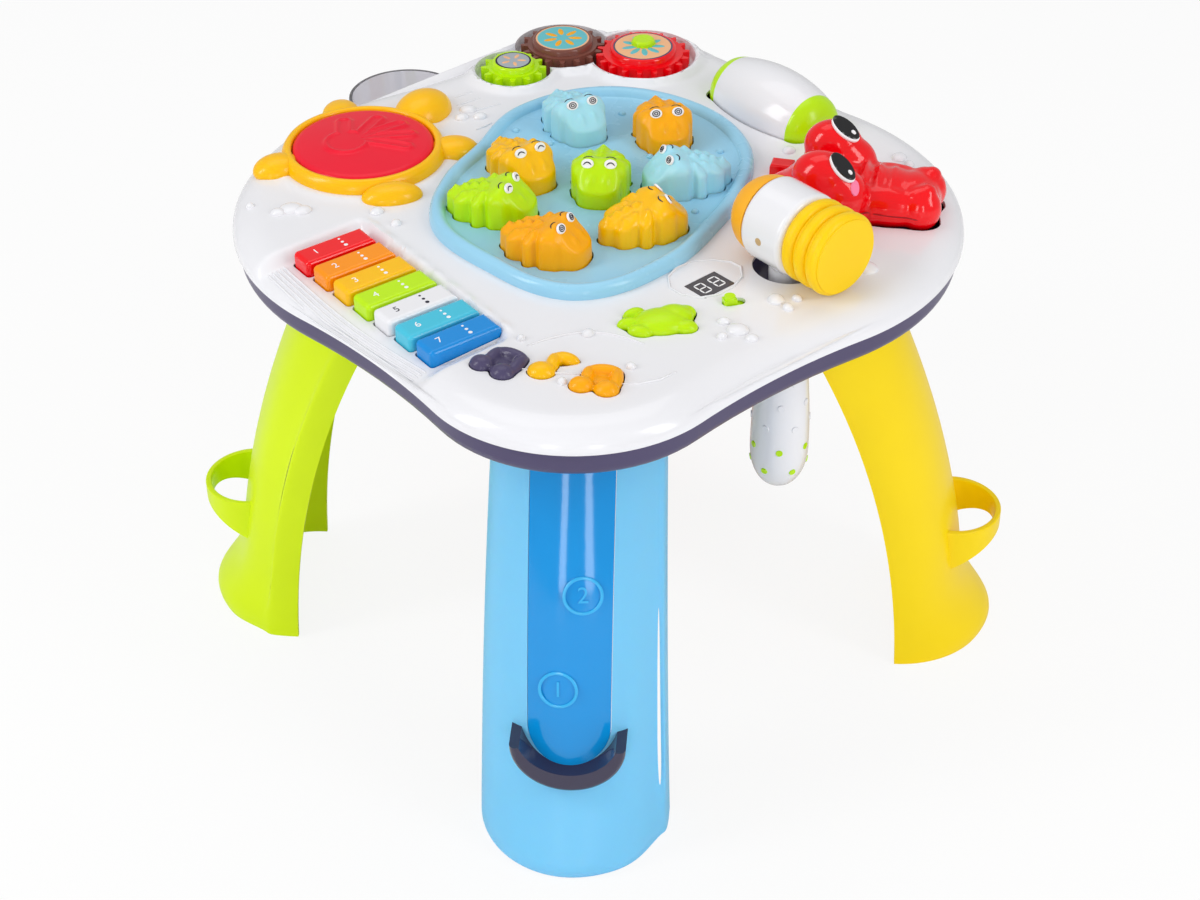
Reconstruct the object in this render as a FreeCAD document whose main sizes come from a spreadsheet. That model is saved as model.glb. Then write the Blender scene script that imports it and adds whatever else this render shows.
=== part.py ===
import FreeCAD, Part
import math
import os

from FreeCAD import Placement, Rotation, Vector

# Toddler activity table on four bowed legs, in millimetres.
# Z is up, the floor is Z = 0, and the origin is the floor point midway between the legs.
# The front leg stands at -Y, the left one at -X, the right one at +X and the back one at +Y.

doc = FreeCAD.newDocument("ActivityTable")
sheet = doc.addObject("Spreadsheet::Sheet", "Sizes")

# Driving dimensions: alias, value, meaning
SIZES = (
    ("table_top", 333, "height of the white top face"),
    ("rim_height", 318, "height of the lower edge of the white shell"),
    ("tray_bottom", 300, "height of the underside of the tray"),
    ("shell_wall", 2.5, "wall of the white shell"),
    ("tray_wall", 2.5, "wall of the tray"),
    ("edge_round", 12, "rounding of the shell's upper edge"),
    ("tray_inset", 3, "how far the tray's side stands in from the shell's edge"),
    ("side_lobe_centre", 70, "centre of a side lobe from the middle"),
    ("side_lobe_round", 164.5, "radius of a side lobe"),
    ("front_lobe_centre", 160, "centre of the front lobe from the middle"),
    ("front_lobe_round", 98, "radius of the front lobe"),
    ("back_lobe_centre", 150, "centre of the back lobe from the middle"),
    ("back_lobe_round", 96, "radius of the back lobe"),
    ("waist_round", 500, "radius of the hollow flank between two lobes"),
    ("fit_gap", 0.3, "gap between pieces that sit against each other"),
    ("travel_gap", 0.8, "gap round a button in its opening"),
    ("leg_half_width", 61.5, "half width of a leg at the floor"),
    ("leg_taper", 0.029, "half width lost per millimetre of height"),
    ("leg_wall", 3, "wall of a leg"),
    ("foot_reach", 277, "outer face of a foot from the middle"),
    ("ankle_reach", 256, "outer face of a leg above its foot"),
    ("ankle_height", 55, "height at which the foot has run into the leg"),
    ("leg_edge_reach", 211, "open edge of a leg at the floor"),
    ("tongue_width", 70, "leg tongue across"),
    ("tongue_depth", 36, "leg tongue along the table's radius"),
    ("tongue_height", 11, "leg tongue above the tray's underside"),
    ("tongue_reach", 147, "middle of a leg tongue from the table's middle"),
    ("hoop_height", 96, "upper edge of a side hoop"),
    ("hoop_round", 33, "outer radius of a side hoop"),
    ("hoop_wall", 4, "wall of a side hoop"),
    ("hoop_reach", 247, "middle of a side hoop"),
    ("hoop_depth", 32, "depth of a hoop where it meets the leg"),
    ("window_half", 26, "half width of the chute window"),
    ("window_low", 100, "middle of the chute window's round lower end"),
    ("window_high", 290, "upper edge of the chute window"),
    ("lip_round", 36, "outer radius of the catcher lip"),
    ("lip_wall", 4.5, "wall of the catcher lip's sides"),
    ("lip_height", 15, "height of the catcher lip at its middle"),
    ("lip_depth", 15, "how far the catcher lip stands out of the leg"),
    ("island_top", 336, "face of the whacking island"),
    ("island_rim", 4, "height of the island's rim over its face"),
    ("island_rim_width", 8, "width of the island's rim"),
    ("button_travel", 5, "travel of a dinosaur"),
    ("board_top", 309.6, "upper face of the circuit board"),
    ("board_thick", 1.6, "circuit board"),
    ("dome_height", 4, "rubber contact domes on the board"),
    ("dome_round", 4.5, "radius of a contact dome"),
    ("key_length", 49, "piano key"),
    ("key_width", 18.4, "piano key"),
    ("key_pitch", 21.3, "piano key to piano key"),
    ("key_top", 336, "top of a piano key"),
    ("key_bottom", 320, "underside of a piano key"),
    ("key_rod", 1.6, "radius of the rod that a piano key rocks on"),
    ("key_round", 3, "rounding of a piano key"),
    ("recess_floor", 326, "floor round the piano keys"),
    ("gear_floor", 326, "floor of the gear well"),
    ("gear_thick", 11, "gear"),
    ("gear_lift", 1, "gap under a gear"),
    ("tooth_module", 3.45, "pitch diameter over number of teeth"),
    ("well_margin", 4, "gap from tooth tips to the well"),
    ("well_rim", 4, "height of the well's rim over the top"),
    ("pin_round", 3, "radius of a gear pin"),
    ("pin_fit", 0.1, "running gap on pins and axles"),
    ("roller_height", 334, "axis of the roller"),
    ("roller_round", 28.5, "largest radius of the roller"),
    ("roller_end_round", 23, "radius where the barrel meets its caps"),
    ("barrel_length", 72, "white barrel of the roller"),
    ("cap_length", 12, "green cap of the roller"),
    ("axle_round", 3, "roller axle"),
    ("roller_gap", 1.5, "gap round the roller"),
    ("drum_round", 46.5, "drum pad"),
    ("drum_ring_round", 52.5, "turtle shell round the drum"),
    ("drum_ring_top", 342, "upper face of the turtle"),
    ("drum_travel", 2.5, "travel of the drum pad"),
    ("hammer_height", 360.3, "axis of the hammer's head"),
    ("hammer_round", 26.7, "radius of the hammer's head"),
    ("hammer_core", 34, "white middle of the hammer's head"),
    ("hammer_bellows", 30, "ribbed end of the hammer's head"),
    ("handle_low", 168, "lower end of the handle"),
    ("handle_neck", 12, "radius of the handle's neck"),
    ("handle_belly", 19, "largest radius of the handle"),
    ("socket_round", 22, "radius of the hammer's socket"),
    ("bay_depth", 18, "depth of the battery bay under the tray"),
    ("cell_round", 7.25, "radius of a battery cell"),
    ("cup_round", 40, "outer radius of the side cup"),
    ("cup_rim", 310, "rim of the side cup"),
    ("cup_depth", 48, "depth of the side cup"),
    ("cup_wall", 2, "wall of the side cup"),
    ("cap_travel", 2.5, "travel of the small buttons"),
    ("croc_travel", 4, "travel of the crocodile"),
    ("switch_travel", 5, "travel of the slide switch"),
    ("screw_round", 1.8, "radius of a case screw"),
    ("screw_head", 3.2, "radius of a case screw's head"),
)
for row, (alias, value, meaning) in enumerate(SIZES, start=1):
    sheet.set("A%d" % row, str(value))
    sheet.set("B%d" % row, meaning)
    sheet.setAlias("A%d" % row, alias)
doc.recompute()


class Values:
    """Reads a driving dimension from the sheet by its alias."""

    def __getattr__(self, alias):
        return float(sheet.get(alias))


v = Values()
nodes = {}

X_AXIS = Vector(1, 0, 0)
Y_AXIS = Vector(0, 1, 0)
Z_AXIS = Vector(0, 0, 1)

# Helpers for parametric objects


def expr(text):
    """Names the sheet before each alias in an expression."""
    for alias in sorted((size[0] for size in SIZES), key=len, reverse=True):
        text = text.replace("$" + alias, "Sizes." + alias)
    return text


def solid(kind, name, at=("0", "0", "0"), turn=None, **sizes):
    """Adds a Part primitive whose sizes and place are expressions."""
    obj = doc.addObject("Part::" + kind, name)
    if turn:
        obj.Placement = Placement(Vector(), Rotation(turn[0], turn[1]))
    for prop, text in sizes.items():
        obj.setExpression(prop, expr(str(text)))
    for letter, text in zip("xyz", at):
        obj.setExpression("Placement.Base." + letter, expr(str(text)))
    return obj


def fuse(name, pieces):
    obj = doc.addObject("Part::MultiFuse", name)
    obj.Shapes = pieces
    return obj


def cut(name, base, tool):
    obj = doc.addObject("Part::Cut", name)
    obj.Base = base
    obj.Tool = tool
    return obj


def common(name, first, second):
    obj = doc.addObject("Part::Common", name)
    obj.Base = first
    obj.Tool = second
    return obj


def shaped(name, shape, place=None):
    """Adds an object whose shape is worked out here from the sheet."""
    obj = doc.addObject("Part::Feature", name)
    obj.Shape = shape
    if place:
        obj.Placement = place
    return obj


def keep(obj, label):
    """Marks an object as a sub-part that is written to its own file."""
    obj.Label = label
    nodes[label] = obj
    return obj


def drill(name, radius, at, height):
    return solid("Cylinder", name, at=at, Radius=radius, Height=height)


def stadium_box(name, width, depth, height, at, turn=None):
    """A box centred on its place in X and Y."""
    return shaped_box(name, width, depth, height, at, turn)


def shaped_box(name, width, depth, height, at, angle=None):
    box = Part.makeBox(width, depth, height, Vector(-width / 2, -depth / 2, 0))
    place = Placement(Vector(*at), Rotation(Z_AXIS, angle or 0))
    return shaped(name, box, place)


# Outline of the table: four lobes and four hollow flanks, all tangent arcs


def flank_centre(side, end, side_round, end_round, flank):
    """Centre of the circle of radius flank that touches a side lobe and an end lobe."""
    reach_side = side_round + flank
    reach_end = end_round + flank
    span = math.hypot(side, end)
    along = (reach_side ** 2 - reach_end ** 2 + span ** 2) / (2 * span)
    off = math.sqrt(reach_side ** 2 - along ** 2)
    ux, uy = -side / span, end / span
    return Vector(side + ux * along + uy * off, uy * along - ux * off, 0)


def lobed_face(inset):
    side = v.side_lobe_centre
    side_round = v.side_lobe_round - inset
    flank = v.waist_round + inset
    arcs = []
    touch = []
    for end, end_round in ((v.back_lobe_centre, v.back_lobe_round - inset),
                           (v.front_lobe_centre, v.front_lobe_round - inset)):
        centre = flank_centre(side, end, side_round, end_round, flank)
        lobe = Vector(side, 0, 0)
        tip = Vector(0, end, 0)
        on_side = lobe + (centre - lobe).normalize() * side_round
        on_end = tip + (centre - tip).normalize() * end_round
        middle = centre + ((on_side + on_end) * 0.5 - centre).normalize() * flank
        touch.append((on_side, middle, on_end))
    back, front = touch

    def flip(point, x, y):
        return Vector(point.x * x, point.y * y, 0)

    def arc(first, middle, last):
        arcs.append(Part.Arc(first, middle, last).toShape())

    right_tip = Vector(side + side_round, 0, 0)
    back_tip = Vector(0, v.back_lobe_centre + v.back_lobe_round - inset, 0)
    front_tip = Vector(0, -(v.front_lobe_centre + v.front_lobe_round - inset), 0)
    arc(flip(front[0], 1, -1), right_tip, back[0])
    arc(back[0], back[1], back[2])
    arc(back[2], back_tip, flip(back[2], -1, 1))
    arc(flip(back[2], -1, 1), flip(back[1], -1, 1), flip(back[0], -1, 1))
    arc(flip(back[0], -1, 1), flip(right_tip, -1, 1), flip(front[0], -1, -1))
    arc(flip(front[0], -1, -1), flip(front[1], -1, -1), flip(front[2], -1, -1))
    arc(flip(front[2], -1, -1), front_tip, flip(front[2], 1, -1))
    arc(flip(front[2], 1, -1), flip(front[1], 1, -1), flip(front[0], 1, -1))
    return Part.Face(Part.Wire(arcs))


def lobed_block(inset, low, high, top_round=0, bottom_round=0):
    face = lobed_face(inset)
    face.translate(Vector(0, 0, low))
    block = face.extrude(Vector(0, 0, high - low))
    for radius, level in ((top_round, high), (bottom_round, low)):
        if radius:
            rim = [edge for edge in block.Edges
                   if abs(edge.BoundBox.ZMin - level) < 0.01 and abs(edge.BoundBox.ZMax - level) < 0.01]
            block = block.makeFillet(radius, rim)
    return block


# Whacking island: reach of its edge from its middle, every thirty degrees from +X
ISLAND_MIDDLE = Vector(-4, 8, 0)
ISLAND_REACH = (99, 116, 128, 131, 115, 92, 97, 111, 116, 131, 110, 95)


def island_block(inset, low, high):
    points = []
    for step, reach in enumerate(ISLAND_REACH):
        angle = math.radians(30 * step)
        points.append(ISLAND_MIDDLE + Vector(math.cos(angle), math.sin(angle), 0) * (reach - inset))
    curve = Part.BSplineCurve()
    curve.interpolate(Points=points, PeriodicFlag=True)
    face = Part.Face(Part.Wire([curve.toShape()]))
    face.translate(Vector(0, 0, low))
    return face.extrude(Vector(0, 0, high - low))


# Buttons: round-topped columns through an opening, a flange under it and a plunger


class Button:
    """Columns are (along, across, radius, height over the face) in the button's own frame."""

    def __init__(self, name, columns, face, wall, travel, gap, plunger_along=0):
        self.name = name
        self.columns = columns
        self.face = face
        self.wall = wall
        self.travel = travel
        self.gap = gap
        self.plunger_along = plunger_along

    def column(self, index, radius, low, high):
        along, across = self.columns[index][:2]
        return Part.makeCylinder(radius, high - low, Vector(along, across, low))

    def shape(self):
        pieces = []
        flange_top = self.face - self.wall - v.fit_gap
        flange_low = flange_top - 2
        for index, (along, across, radius, height) in enumerate(self.columns):
            straight = height * 0.45
            pieces.append(self.column(index, radius, flange_low, self.face + straight))
            dome = Part.makeSphere(radius)
            squash = FreeCAD.Matrix()
            squash.scale(1, 1, (height - straight) / radius)
            dome = dome.transformGeometry(squash)
            dome.translate(Vector(along, across, self.face + straight))
            pieces.append(dome)
            pieces.append(self.column(index, radius + self.gap + 1.2, flange_low, flange_top))
        reach = v.board_top + v.dome_height + self.travel + v.fit_gap
        pieces.append(Part.makeCylinder(3.5, flange_low + 1 - reach, Vector(self.plunger_along, 0, reach)))
        return pieces[0].fuse(pieces[1:]).removeSplitter()

    def opening(self):
        pieces = []
        for index, column in enumerate(self.columns):
            pieces.append(self.column(index, column[2] + self.gap, self.face - self.wall - 3, self.face + 3))
        return pieces[0].fuse(pieces[1:])


DINO_COLUMNS = (
    (12, 0, 13.5, 23),
    (21, 0, 8.5, 17),
    (-1, 0, 15, 21),
    (-13, 0, 11.5, 17),
    (-23, 0, 6, 10),
    (3, 13, 5.5, 8),
    (3, -13, 5.5, 8),
    (-10, 10.5, 5, 7),
    (-10, -10.5, 5, 7),
)
# Place and heading of each dinosaur
DINOS = (
    (-22, 85, -58),
    (38, 77, -75),
    (-51, 19, -52),
    (2, 7, -90),
    (56, 13, -160),
    (-63, -30, -12),
    (-25, -75, -18),
    (33, -46, 28),
)
PAW_COLUMNS = ((0, 0, 13, 5), (6, 4, 11, 5), (-14, 8, 4.5, 4.5), (-18, -1, 4.5, 4.5), (-13, -10, 4.5, 4.5))
PAW = (48, -143, 10)
DOUBLE_NOTE = ((-8, -7, 6, 4), (5, -8, 6, 4), (0, 0, 4, 4), (9, 4, 5, 4), (-3, 4, 4, 4))
SINGLE_NOTE = ((-4, -5, 7.5, 4), (3, 3, 4.5, 4), (9, 6, 5, 4))
NOTES = (
    ("note_button_navy", DOUBLE_NOTE, -40, -190, -25),
    ("note_button_amber", SINGLE_NOTE, -11, -193, -5),
    ("note_button_orange", DOUBLE_NOTE, 17, -204, -5),
)
CROC_COLUMNS = (
    (-36, 0, 17, 17),
    (-12, 0, 31, 30),
    (18, 0, 25, 25),
    (42, 0, 20, 20),
    (50, 11, 9, 23),
    (50, -11, 9, 23),
)
CROC = (157, 4, -10)
CROC_PLUNGER = 22
CROC_EYES = ((-4, 23), (-4, -23))


def at_place(entry):
    return Placement(Vector(entry[0], entry[1], 0), Rotation(Z_AXIS, entry[2]))


dino_button = Button("dino", DINO_COLUMNS, v.island_top, 3, v.button_travel, v.travel_gap)
dino_shape = dino_button.shape()
dino_opening = dino_button.opening()
for number, place in enumerate(DINOS, start=1):
    keep(shaped("Dino%d" % number, dino_shape, at_place(place)), "dino_%d" % number)

paw_button = Button("paw", PAW_COLUMNS, v.table_top, v.shell_wall, v.cap_travel, v.travel_gap / 2)
keep(shaped("Paw", paw_button.shape(), at_place(PAW)), "paw_button")
note_tools = []
for label, columns, x, y, angle in NOTES:
    note = Button(label, columns, v.table_top, v.shell_wall, v.cap_travel, v.travel_gap / 2)
    keep(shaped(label.title().replace("_", ""), note.shape(), at_place((x, y, angle))), label)
    note_tools.append(shaped("Opening_" + label, note.opening(), at_place((x, y, angle))))

croc_button = Button("croc", CROC_COLUMNS, v.table_top, v.shell_wall, v.croc_travel, v.travel_gap,
                     CROC_PLUNGER)
croc_shape = croc_button.shape()
for along, across in CROC_EYES:
    lid = Part.makeSphere(17)
    stretch = FreeCAD.Matrix()
    stretch.scale(1.15, 0.95, 1.2)
    lid = lid.transformGeometry(stretch)
    lid.translate(Vector(along, across, v.table_top + 25))
    croc_shape = croc_shape.fuse(lid)
keep(shaped("CrocHead", croc_shape.removeSplitter(), at_place(CROC)), "croc_head")

# Island plate: a flat dish with a raised round rim, carried by the white shell
island_body = island_block(0, v.table_top, v.island_top + v.island_rim)
rim_edges = [edge for edge in island_body.Edges
             if abs(edge.BoundBox.ZMin - v.island_top - v.island_rim) < 0.01]
island_body = island_body.makeFillet(v.island_rim * 0.8, rim_edges)
island_dish = island_block(v.island_rim_width, v.island_top, v.island_top + v.island_rim + 1)
island_hollow = island_block(v.island_rim_width + 4, v.table_top - 1, v.island_top - 3)
island_solid = island_body.cut([island_dish, island_hollow])
island = shaped("IslandBody", island_solid)
dino_tools = []
for number, place in enumerate(DINOS, start=1):
    dino_tools.append(shaped("DinoOpening%d" % number, dino_opening, at_place(place)))
keep(cut("IslandPlate", island, fuse("DinoOpenings", dino_tools)), "island_plate")

# Piano keys: a straight row, each key square to it
KEY_ROW_MIDDLE = Vector(-113, -120, 0)
KEY_ROW_ANGLE = -46
KEY_TURN = 41
KEY_COUNT = 7
row_step = Vector(math.cos(math.radians(KEY_ROW_ANGLE)), math.sin(math.radians(KEY_ROW_ANGLE)), 0)
key_tools = []


def key_body(number, middle):
    """One key: a padded rectangle with its upper edges rounded."""
    body = doc.addObject("PartDesign::Body", "Key%d" % number)
    sketch = body.newObject("Sketcher::SketchObject", "KeyOutline%d" % number)
    base = [item for item in body.Origin.OriginFeatures if item.Role == "XY_Plane"][0]
    sketch.AttachmentSupport = (base, "")
    sketch.MapMode = "FlatFace"
    half_x = v.key_length / 2
    half_y = v.key_width / 2
    corners = [Vector(-half_x, -half_y, 0), Vector(half_x, -half_y, 0),
               Vector(half_x, half_y, 0), Vector(-half_x, half_y, 0)]
    for index in range(4):
        sketch.addGeometry(Part.LineSegment(corners[index], corners[(index + 1) % 4]))
    for index in range(4):
        sketch.addConstraint(Sketcher.Constraint("Coincident", index, 2, (index + 1) % 4, 1))
    for index, kind in enumerate(("Horizontal", "Vertical", "Horizontal", "Vertical")):
        sketch.addConstraint(Sketcher.Constraint(kind, index))
    sketch.addConstraint(Sketcher.Constraint("Symmetric", 0, 1, 1, 2, -1, 1))
    long_side = sketch.addConstraint(Sketcher.Constraint("DistanceX", 0, 1, 0, 2, v.key_length))
    short_side = sketch.addConstraint(Sketcher.Constraint("DistanceY", 1, 1, 1, 2, v.key_width))
    sketch.setExpression("Constraints[%d]" % long_side, "Sizes.key_length")
    sketch.setExpression("Constraints[%d]" % short_side, "Sizes.key_width")
    pad = body.newObject("PartDesign::Pad", "KeyPad%d" % number)
    pad.Profile = sketch
    pad.setExpression("Length", "Sizes.key_top - Sizes.key_bottom")
    doc.recompute()
    top_edges = []
    for index, edge in enumerate(pad.Shape.Edges, start=1):
        if edge.BoundBox.ZMin > (v.key_top - v.key_bottom) / 2 - 0.1:
            top_edges.append("Edge%d" % index)
        elif edge.BoundBox.ZMax > v.key_top - v.key_bottom - 0.1 and edge.BoundBox.XMax < 0:
            top_edges.append("Edge%d" % index)
    rounding = body.newObject("PartDesign::Fillet", "KeyRound%d" % number)
    rounding.Base = (pad, top_edges)
    rounding.setExpression("Radius", "Sizes.key_round")
    body.Placement = Placement(middle + Vector(0, 0, v.key_bottom), Rotation(Z_AXIS, KEY_TURN))
    body.setExpression("Placement.Base.z", "Sizes.key_bottom")
    return body


import Sketcher

for number in range(1, KEY_COUNT + 1):
    middle = KEY_ROW_MIDDLE + row_step * (v.key_pitch * (number - (KEY_COUNT + 1) / 2))
    keep(key_body(number, middle), "piano_key_%d" % number)
    key_tools.append(shaped_box("KeySlot%d" % number, v.key_length + 2 * v.travel_gap,
                                v.key_width + 1.2, 30, (middle.x, middle.y, v.recess_floor - 6), KEY_TURN))

# Rail under the keys' inner ends: a bar on two posts, with a round rod for each key to rock on
key_direction = Vector(math.cos(math.radians(KEY_TURN)), math.sin(math.radians(KEY_TURN)), 0)
key_across = Vector(math.sin(math.radians(KEY_TURN)), -math.cos(math.radians(KEY_TURN)), 0)
rail_middle = KEY_ROW_MIDDLE + key_direction * (v.key_length / 2 - 3)
rail_length = v.key_pitch * (KEY_COUNT - 1) + v.key_width
floor_inside = v.tray_bottom + v.tray_wall
rod_height = v.key_bottom - v.fit_gap - v.key_rod
bar_top = rod_height - v.key_rod - 1
rail = Part.makeBox(rail_length, 5, 4, Vector(-rail_length / 2, -2.5, bar_top - 4))
for side in (-1, 1):
    rail = rail.fuse(Part.makeBox(8, 5, bar_top - floor_inside,
                                  Vector(side * (rail_length / 2 - 12) - 4, -2.5, floor_inside)))
rail.rotate(Vector(0, 0, 0), Z_AXIS, KEY_ROW_ANGLE)
rail.translate(rail_middle)
for number in range(1, KEY_COUNT + 1):
    pivot = rail_middle + row_step * (v.key_pitch * (number - (KEY_COUNT + 1) / 2))
    web = Part.makeBox(v.key_width - 6, 1.6, rod_height - bar_top + 1, Vector(3 - v.key_width / 2, -0.8, bar_top - 1))
    web.rotate(Vector(0, 0, 0), Z_AXIS, KEY_TURN - 90)
    web.translate(pivot)
    rod_start = pivot + Vector(0, 0, rod_height) - key_across * (v.key_width / 2 - 1)
    rail = rail.fuse([web, Part.makeCylinder(v.key_rod, v.key_width - 2, rod_start, key_across)])
keep(shaped("KeyRail", rail.removeSplitter()), "key_rail")

# Gear well and three meshing gears
GEAR_TEETH = {"green": 12, "brown": 16, "red": 18}
BROWN_PLACE = Vector(-40.3, 204.8, 0)
GREEN_HEADING = 229.6
RED_HEADING = -9
ADDENDUM = 2.2
DEDENDUM = 2.7


def pitch_round(name):
    return GEAR_TEETH[name] * v.tooth_module / 2


def polar(angle, reach):
    return Vector(math.cos(math.radians(angle)), math.sin(math.radians(angle)), 0) * reach


gear_place = {
    "brown": BROWN_PLACE,
    "green": BROWN_PLACE + polar(GREEN_HEADING, pitch_round("brown") + pitch_round("green")),
    "red": BROWN_PLACE + polar(RED_HEADING, pitch_round("brown") + pitch_round("red")),
}
# Each gear's first tooth: the brown gear points one at the green gear, the others turn a gap to it
brown_step = 360 / GEAR_TEETH["brown"]
brown_offset = (GREEN_HEADING - RED_HEADING) % brown_step
red_offset = -brown_offset * GEAR_TEETH["brown"] / GEAR_TEETH["red"]
gear_phase = {
    "brown": GREEN_HEADING,
    "green": GREEN_HEADING + 180 + 180 / GEAR_TEETH["green"],
    "red": RED_HEADING + 180 + red_offset + 180 / GEAR_TEETH["red"],
}


def gear_body(name):
    """A padded root disc and one padded tooth, repeated round the axis, with a bore."""
    teeth = GEAR_TEETH[name]
    title = name.title()
    radius = pitch_round(name)
    body = doc.addObject("PartDesign::Body", "Gear" + title)
    base = [item for item in body.Origin.OriginFeatures if item.Role == "XY_Plane"][0]
    axis = [item for item in body.Origin.OriginFeatures if item.Role == "Z_Axis"][0]
    disc = body.newObject("Sketcher::SketchObject", "Disc" + title)
    disc.AttachmentSupport = (base, "")
    disc.MapMode = "FlatFace"
    root = radius - DEDENDUM
    bore = v.pin_round + v.pin_fit
    for index, (size, text) in enumerate((
            (root, "%d * Sizes.tooth_module / 2 - %g" % (teeth, DEDENDUM)),
            (bore, "Sizes.pin_round + Sizes.pin_fit"))):
        disc.addGeometry(Part.Circle(Vector(), Z_AXIS, size))
        disc.addConstraint(Sketcher.Constraint("Coincident", index, 3, -1, 1))
        limit = disc.addConstraint(Sketcher.Constraint("Radius", index, size))
        disc.setExpression("Constraints[%d]" % limit, text)
    pad = body.newObject("PartDesign::Pad", "DiscPad" + title)
    pad.Profile = disc
    pad.setExpression("Length", "Sizes.gear_thick")
    tooth = body.newObject("Sketcher::SketchObject", "Tooth" + title)
    tooth.AttachmentSupport = (base, "")
    tooth.MapMode = "FlatFace"
    tip = radius + ADDENDUM
    root_half = 2.5
    tip_half = 1.5
    start = Vector(root - 1, -root_half, 0)
    shoulder = Vector(tip - 1.4, -tip_half, 0)
    tooth.addGeometry(Part.LineSegment(start, shoulder))
    tooth.addGeometry(Part.Arc(shoulder, Vector(tip, 0, 0), Vector(shoulder.x, tip_half, 0)))
    tooth.addGeometry(Part.LineSegment(Vector(shoulder.x, tip_half, 0), Vector(start.x, root_half, 0)))
    tooth.addGeometry(Part.LineSegment(Vector(start.x, root_half, 0), start))
    tooth_pad = body.newObject("PartDesign::Pad", "ToothPad" + title)
    tooth_pad.Profile = tooth
    tooth_pad.setExpression("Length", "Sizes.gear_thick - 1")
    doc.recompute()
    ring = body.newObject("PartDesign::PolarPattern", "ToothRing" + title)
    ring.Originals = [tooth_pad]
    ring.Axis = (axis, [""])
    ring.Angle = 360
    ring.Occurrences = teeth
    body.Tip = ring
    place = gear_place[name]
    body.Placement = Placement(Vector(place.x, place.y, v.gear_floor + v.gear_lift),
                               Rotation(Z_AXIS, gear_phase[name]))
    body.setExpression("Placement.Base.z", "Sizes.gear_floor + Sizes.gear_lift")
    return body


for name in GEAR_TEETH:
    keep(gear_body(name), "gear_" + name)

pins = []
well_walls = []
well_hollows = []
for name in GEAR_TEETH:
    place = gear_place[name]
    clear_round = pitch_round(name) + ADDENDUM + v.well_margin
    pins.append(Part.makeCylinder(v.pin_round, v.gear_thick + v.gear_lift - 0.5, Vector(place.x, place.y, v.gear_floor)))
    pins.append(Part.makeCylinder(v.pin_round + 2.2, v.gear_lift - v.fit_gap, Vector(place.x, place.y, v.gear_floor)))
    well_walls.append(Part.makeCylinder(clear_round + 4, v.table_top + v.well_rim - v.gear_floor + v.shell_wall,
                                        Vector(place.x, place.y, v.gear_floor - v.shell_wall)))
    well_hollows.append(Part.makeCylinder(clear_round, 40, Vector(place.x, place.y, v.gear_floor)))
keep(shaped("GearPins", pins[0].fuse(pins[1:])), "gear_pins")

# Knob on the red gear
gear_top = v.gear_floor + v.gear_lift + v.gear_thick
knob_core = Part.makeCylinder(8, 8, Vector(0, 0, gear_top))
knob_core = knob_core.makeFillet(2, [knob_core.Edges[0]])
knob_ribs = []
for step in range(16):
    spot = polar(360 / 16 * step, 8)
    knob_ribs.append(Part.makeCylinder(0.9, 5, Vector(spot.x, spot.y, gear_top)))
knob = knob_core.fuse(knob_ribs).removeSplitter()
keep(shaped("GearKnob", knob, Placement(gear_place["red"] + Vector(0, 4, 0), Rotation())), "gear_knob")

# Roller: a barrel with two caps on an axle that runs from lower right to upper left
ROLLER_MIDDLE = Vector(111, 125, 0)
ROLLER_ANGLE = -47


def barrel_shape(grow):
    """The roller's outline turned about its axis, grown for the opening when asked."""
    half = v.barrel_length / 2 + (0 if not grow else v.cap_length + grow)
    top = v.roller_round + grow
    side = (v.roller_end_round if not grow else v.roller_end_round - 6) + grow
    arc = Part.Arc(Vector(-half, side, 0), Vector(0, top, 0), Vector(half, side, 0)).toShape()
    lines = Part.makePolygon([Vector(half, side, 0), Vector(half, 0, 0), Vector(-half, 0, 0), Vector(-half, side, 0)])
    face = Part.Face(Part.Wire([arc] + lines.Edges))
    return face.revolve(Vector(), X_AXIS, 360)


def cap_shape():
    inner = v.roller_end_round
    outer = v.roller_end_round - 10
    length = v.cap_length
    arc = Part.Arc(Vector(0, inner, 0), Vector(length * 0.62, inner - 3.4, 0), Vector(length, outer, 0)).toShape()
    lines = Part.makePolygon([Vector(length, outer, 0), Vector(length, 0, 0), Vector(0, 0, 0), Vector(0, inner, 0)])
    face = Part.Face(Part.Wire([arc] + lines.Edges))
    return face.revolve(Vector(), X_AXIS, 360)


roller_place = Placement(ROLLER_MIDDLE + Vector(0, 0, v.roller_height), Rotation(Z_AXIS, ROLLER_ANGLE))
axle_reach = v.barrel_length / 2 + v.cap_length + 4
axle_bore = Part.makeCylinder(v.axle_round + v.pin_fit, 2 * axle_reach, Vector(-axle_reach, 0, 0), X_AXIS)
barrel = barrel_shape(0).cut(Part.makeCylinder(v.roller_end_round - 4, v.barrel_length - 6,
                                               Vector(3 - v.barrel_length / 2, 0, 0), X_AXIS)).cut(axle_bore)
keep(shaped("RollerBarrel", barrel, roller_place), "roller_barrel")
left_cap = cap_shape()
left_cap.rotate(Vector(), Z_AXIS, 180)
for label, cap, side in (("roller_cap_left", left_cap, -1), ("roller_cap_right", cap_shape(), 1)):
    cap.translate(Vector(side * v.barrel_length / 2, 0, 0))
    keep(shaped(label.title().replace("_", ""), cap.cut(axle_bore), roller_place), label)
axle = Part.makeCylinder(v.axle_round, 2 * axle_reach, Vector(-axle_reach, 0, 0), X_AXIS)
keep(shaped("RollerAxle", axle, roller_place), "roller_axle")
uprights = []
upright_slots = []
for side in (-1, 1):
    spot = side * (axle_reach - 2)
    upright = Part.makeBox(3, 10, v.roller_height - floor_inside, Vector(spot - 1.5, -5, floor_inside - v.roller_height))
    upright_slots.append(Part.makeBox(3 + 2 * v.travel_gap, 10 + 2 * v.travel_gap, 20,
                                      Vector(spot - 1.5 - v.travel_gap, -5 - v.travel_gap, -10)))
    head = Part.makeCylinder(5, 3, Vector(spot - 1.5, 0, 0), X_AXIS)
    uprights.append(upright.fuse(head))
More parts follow.
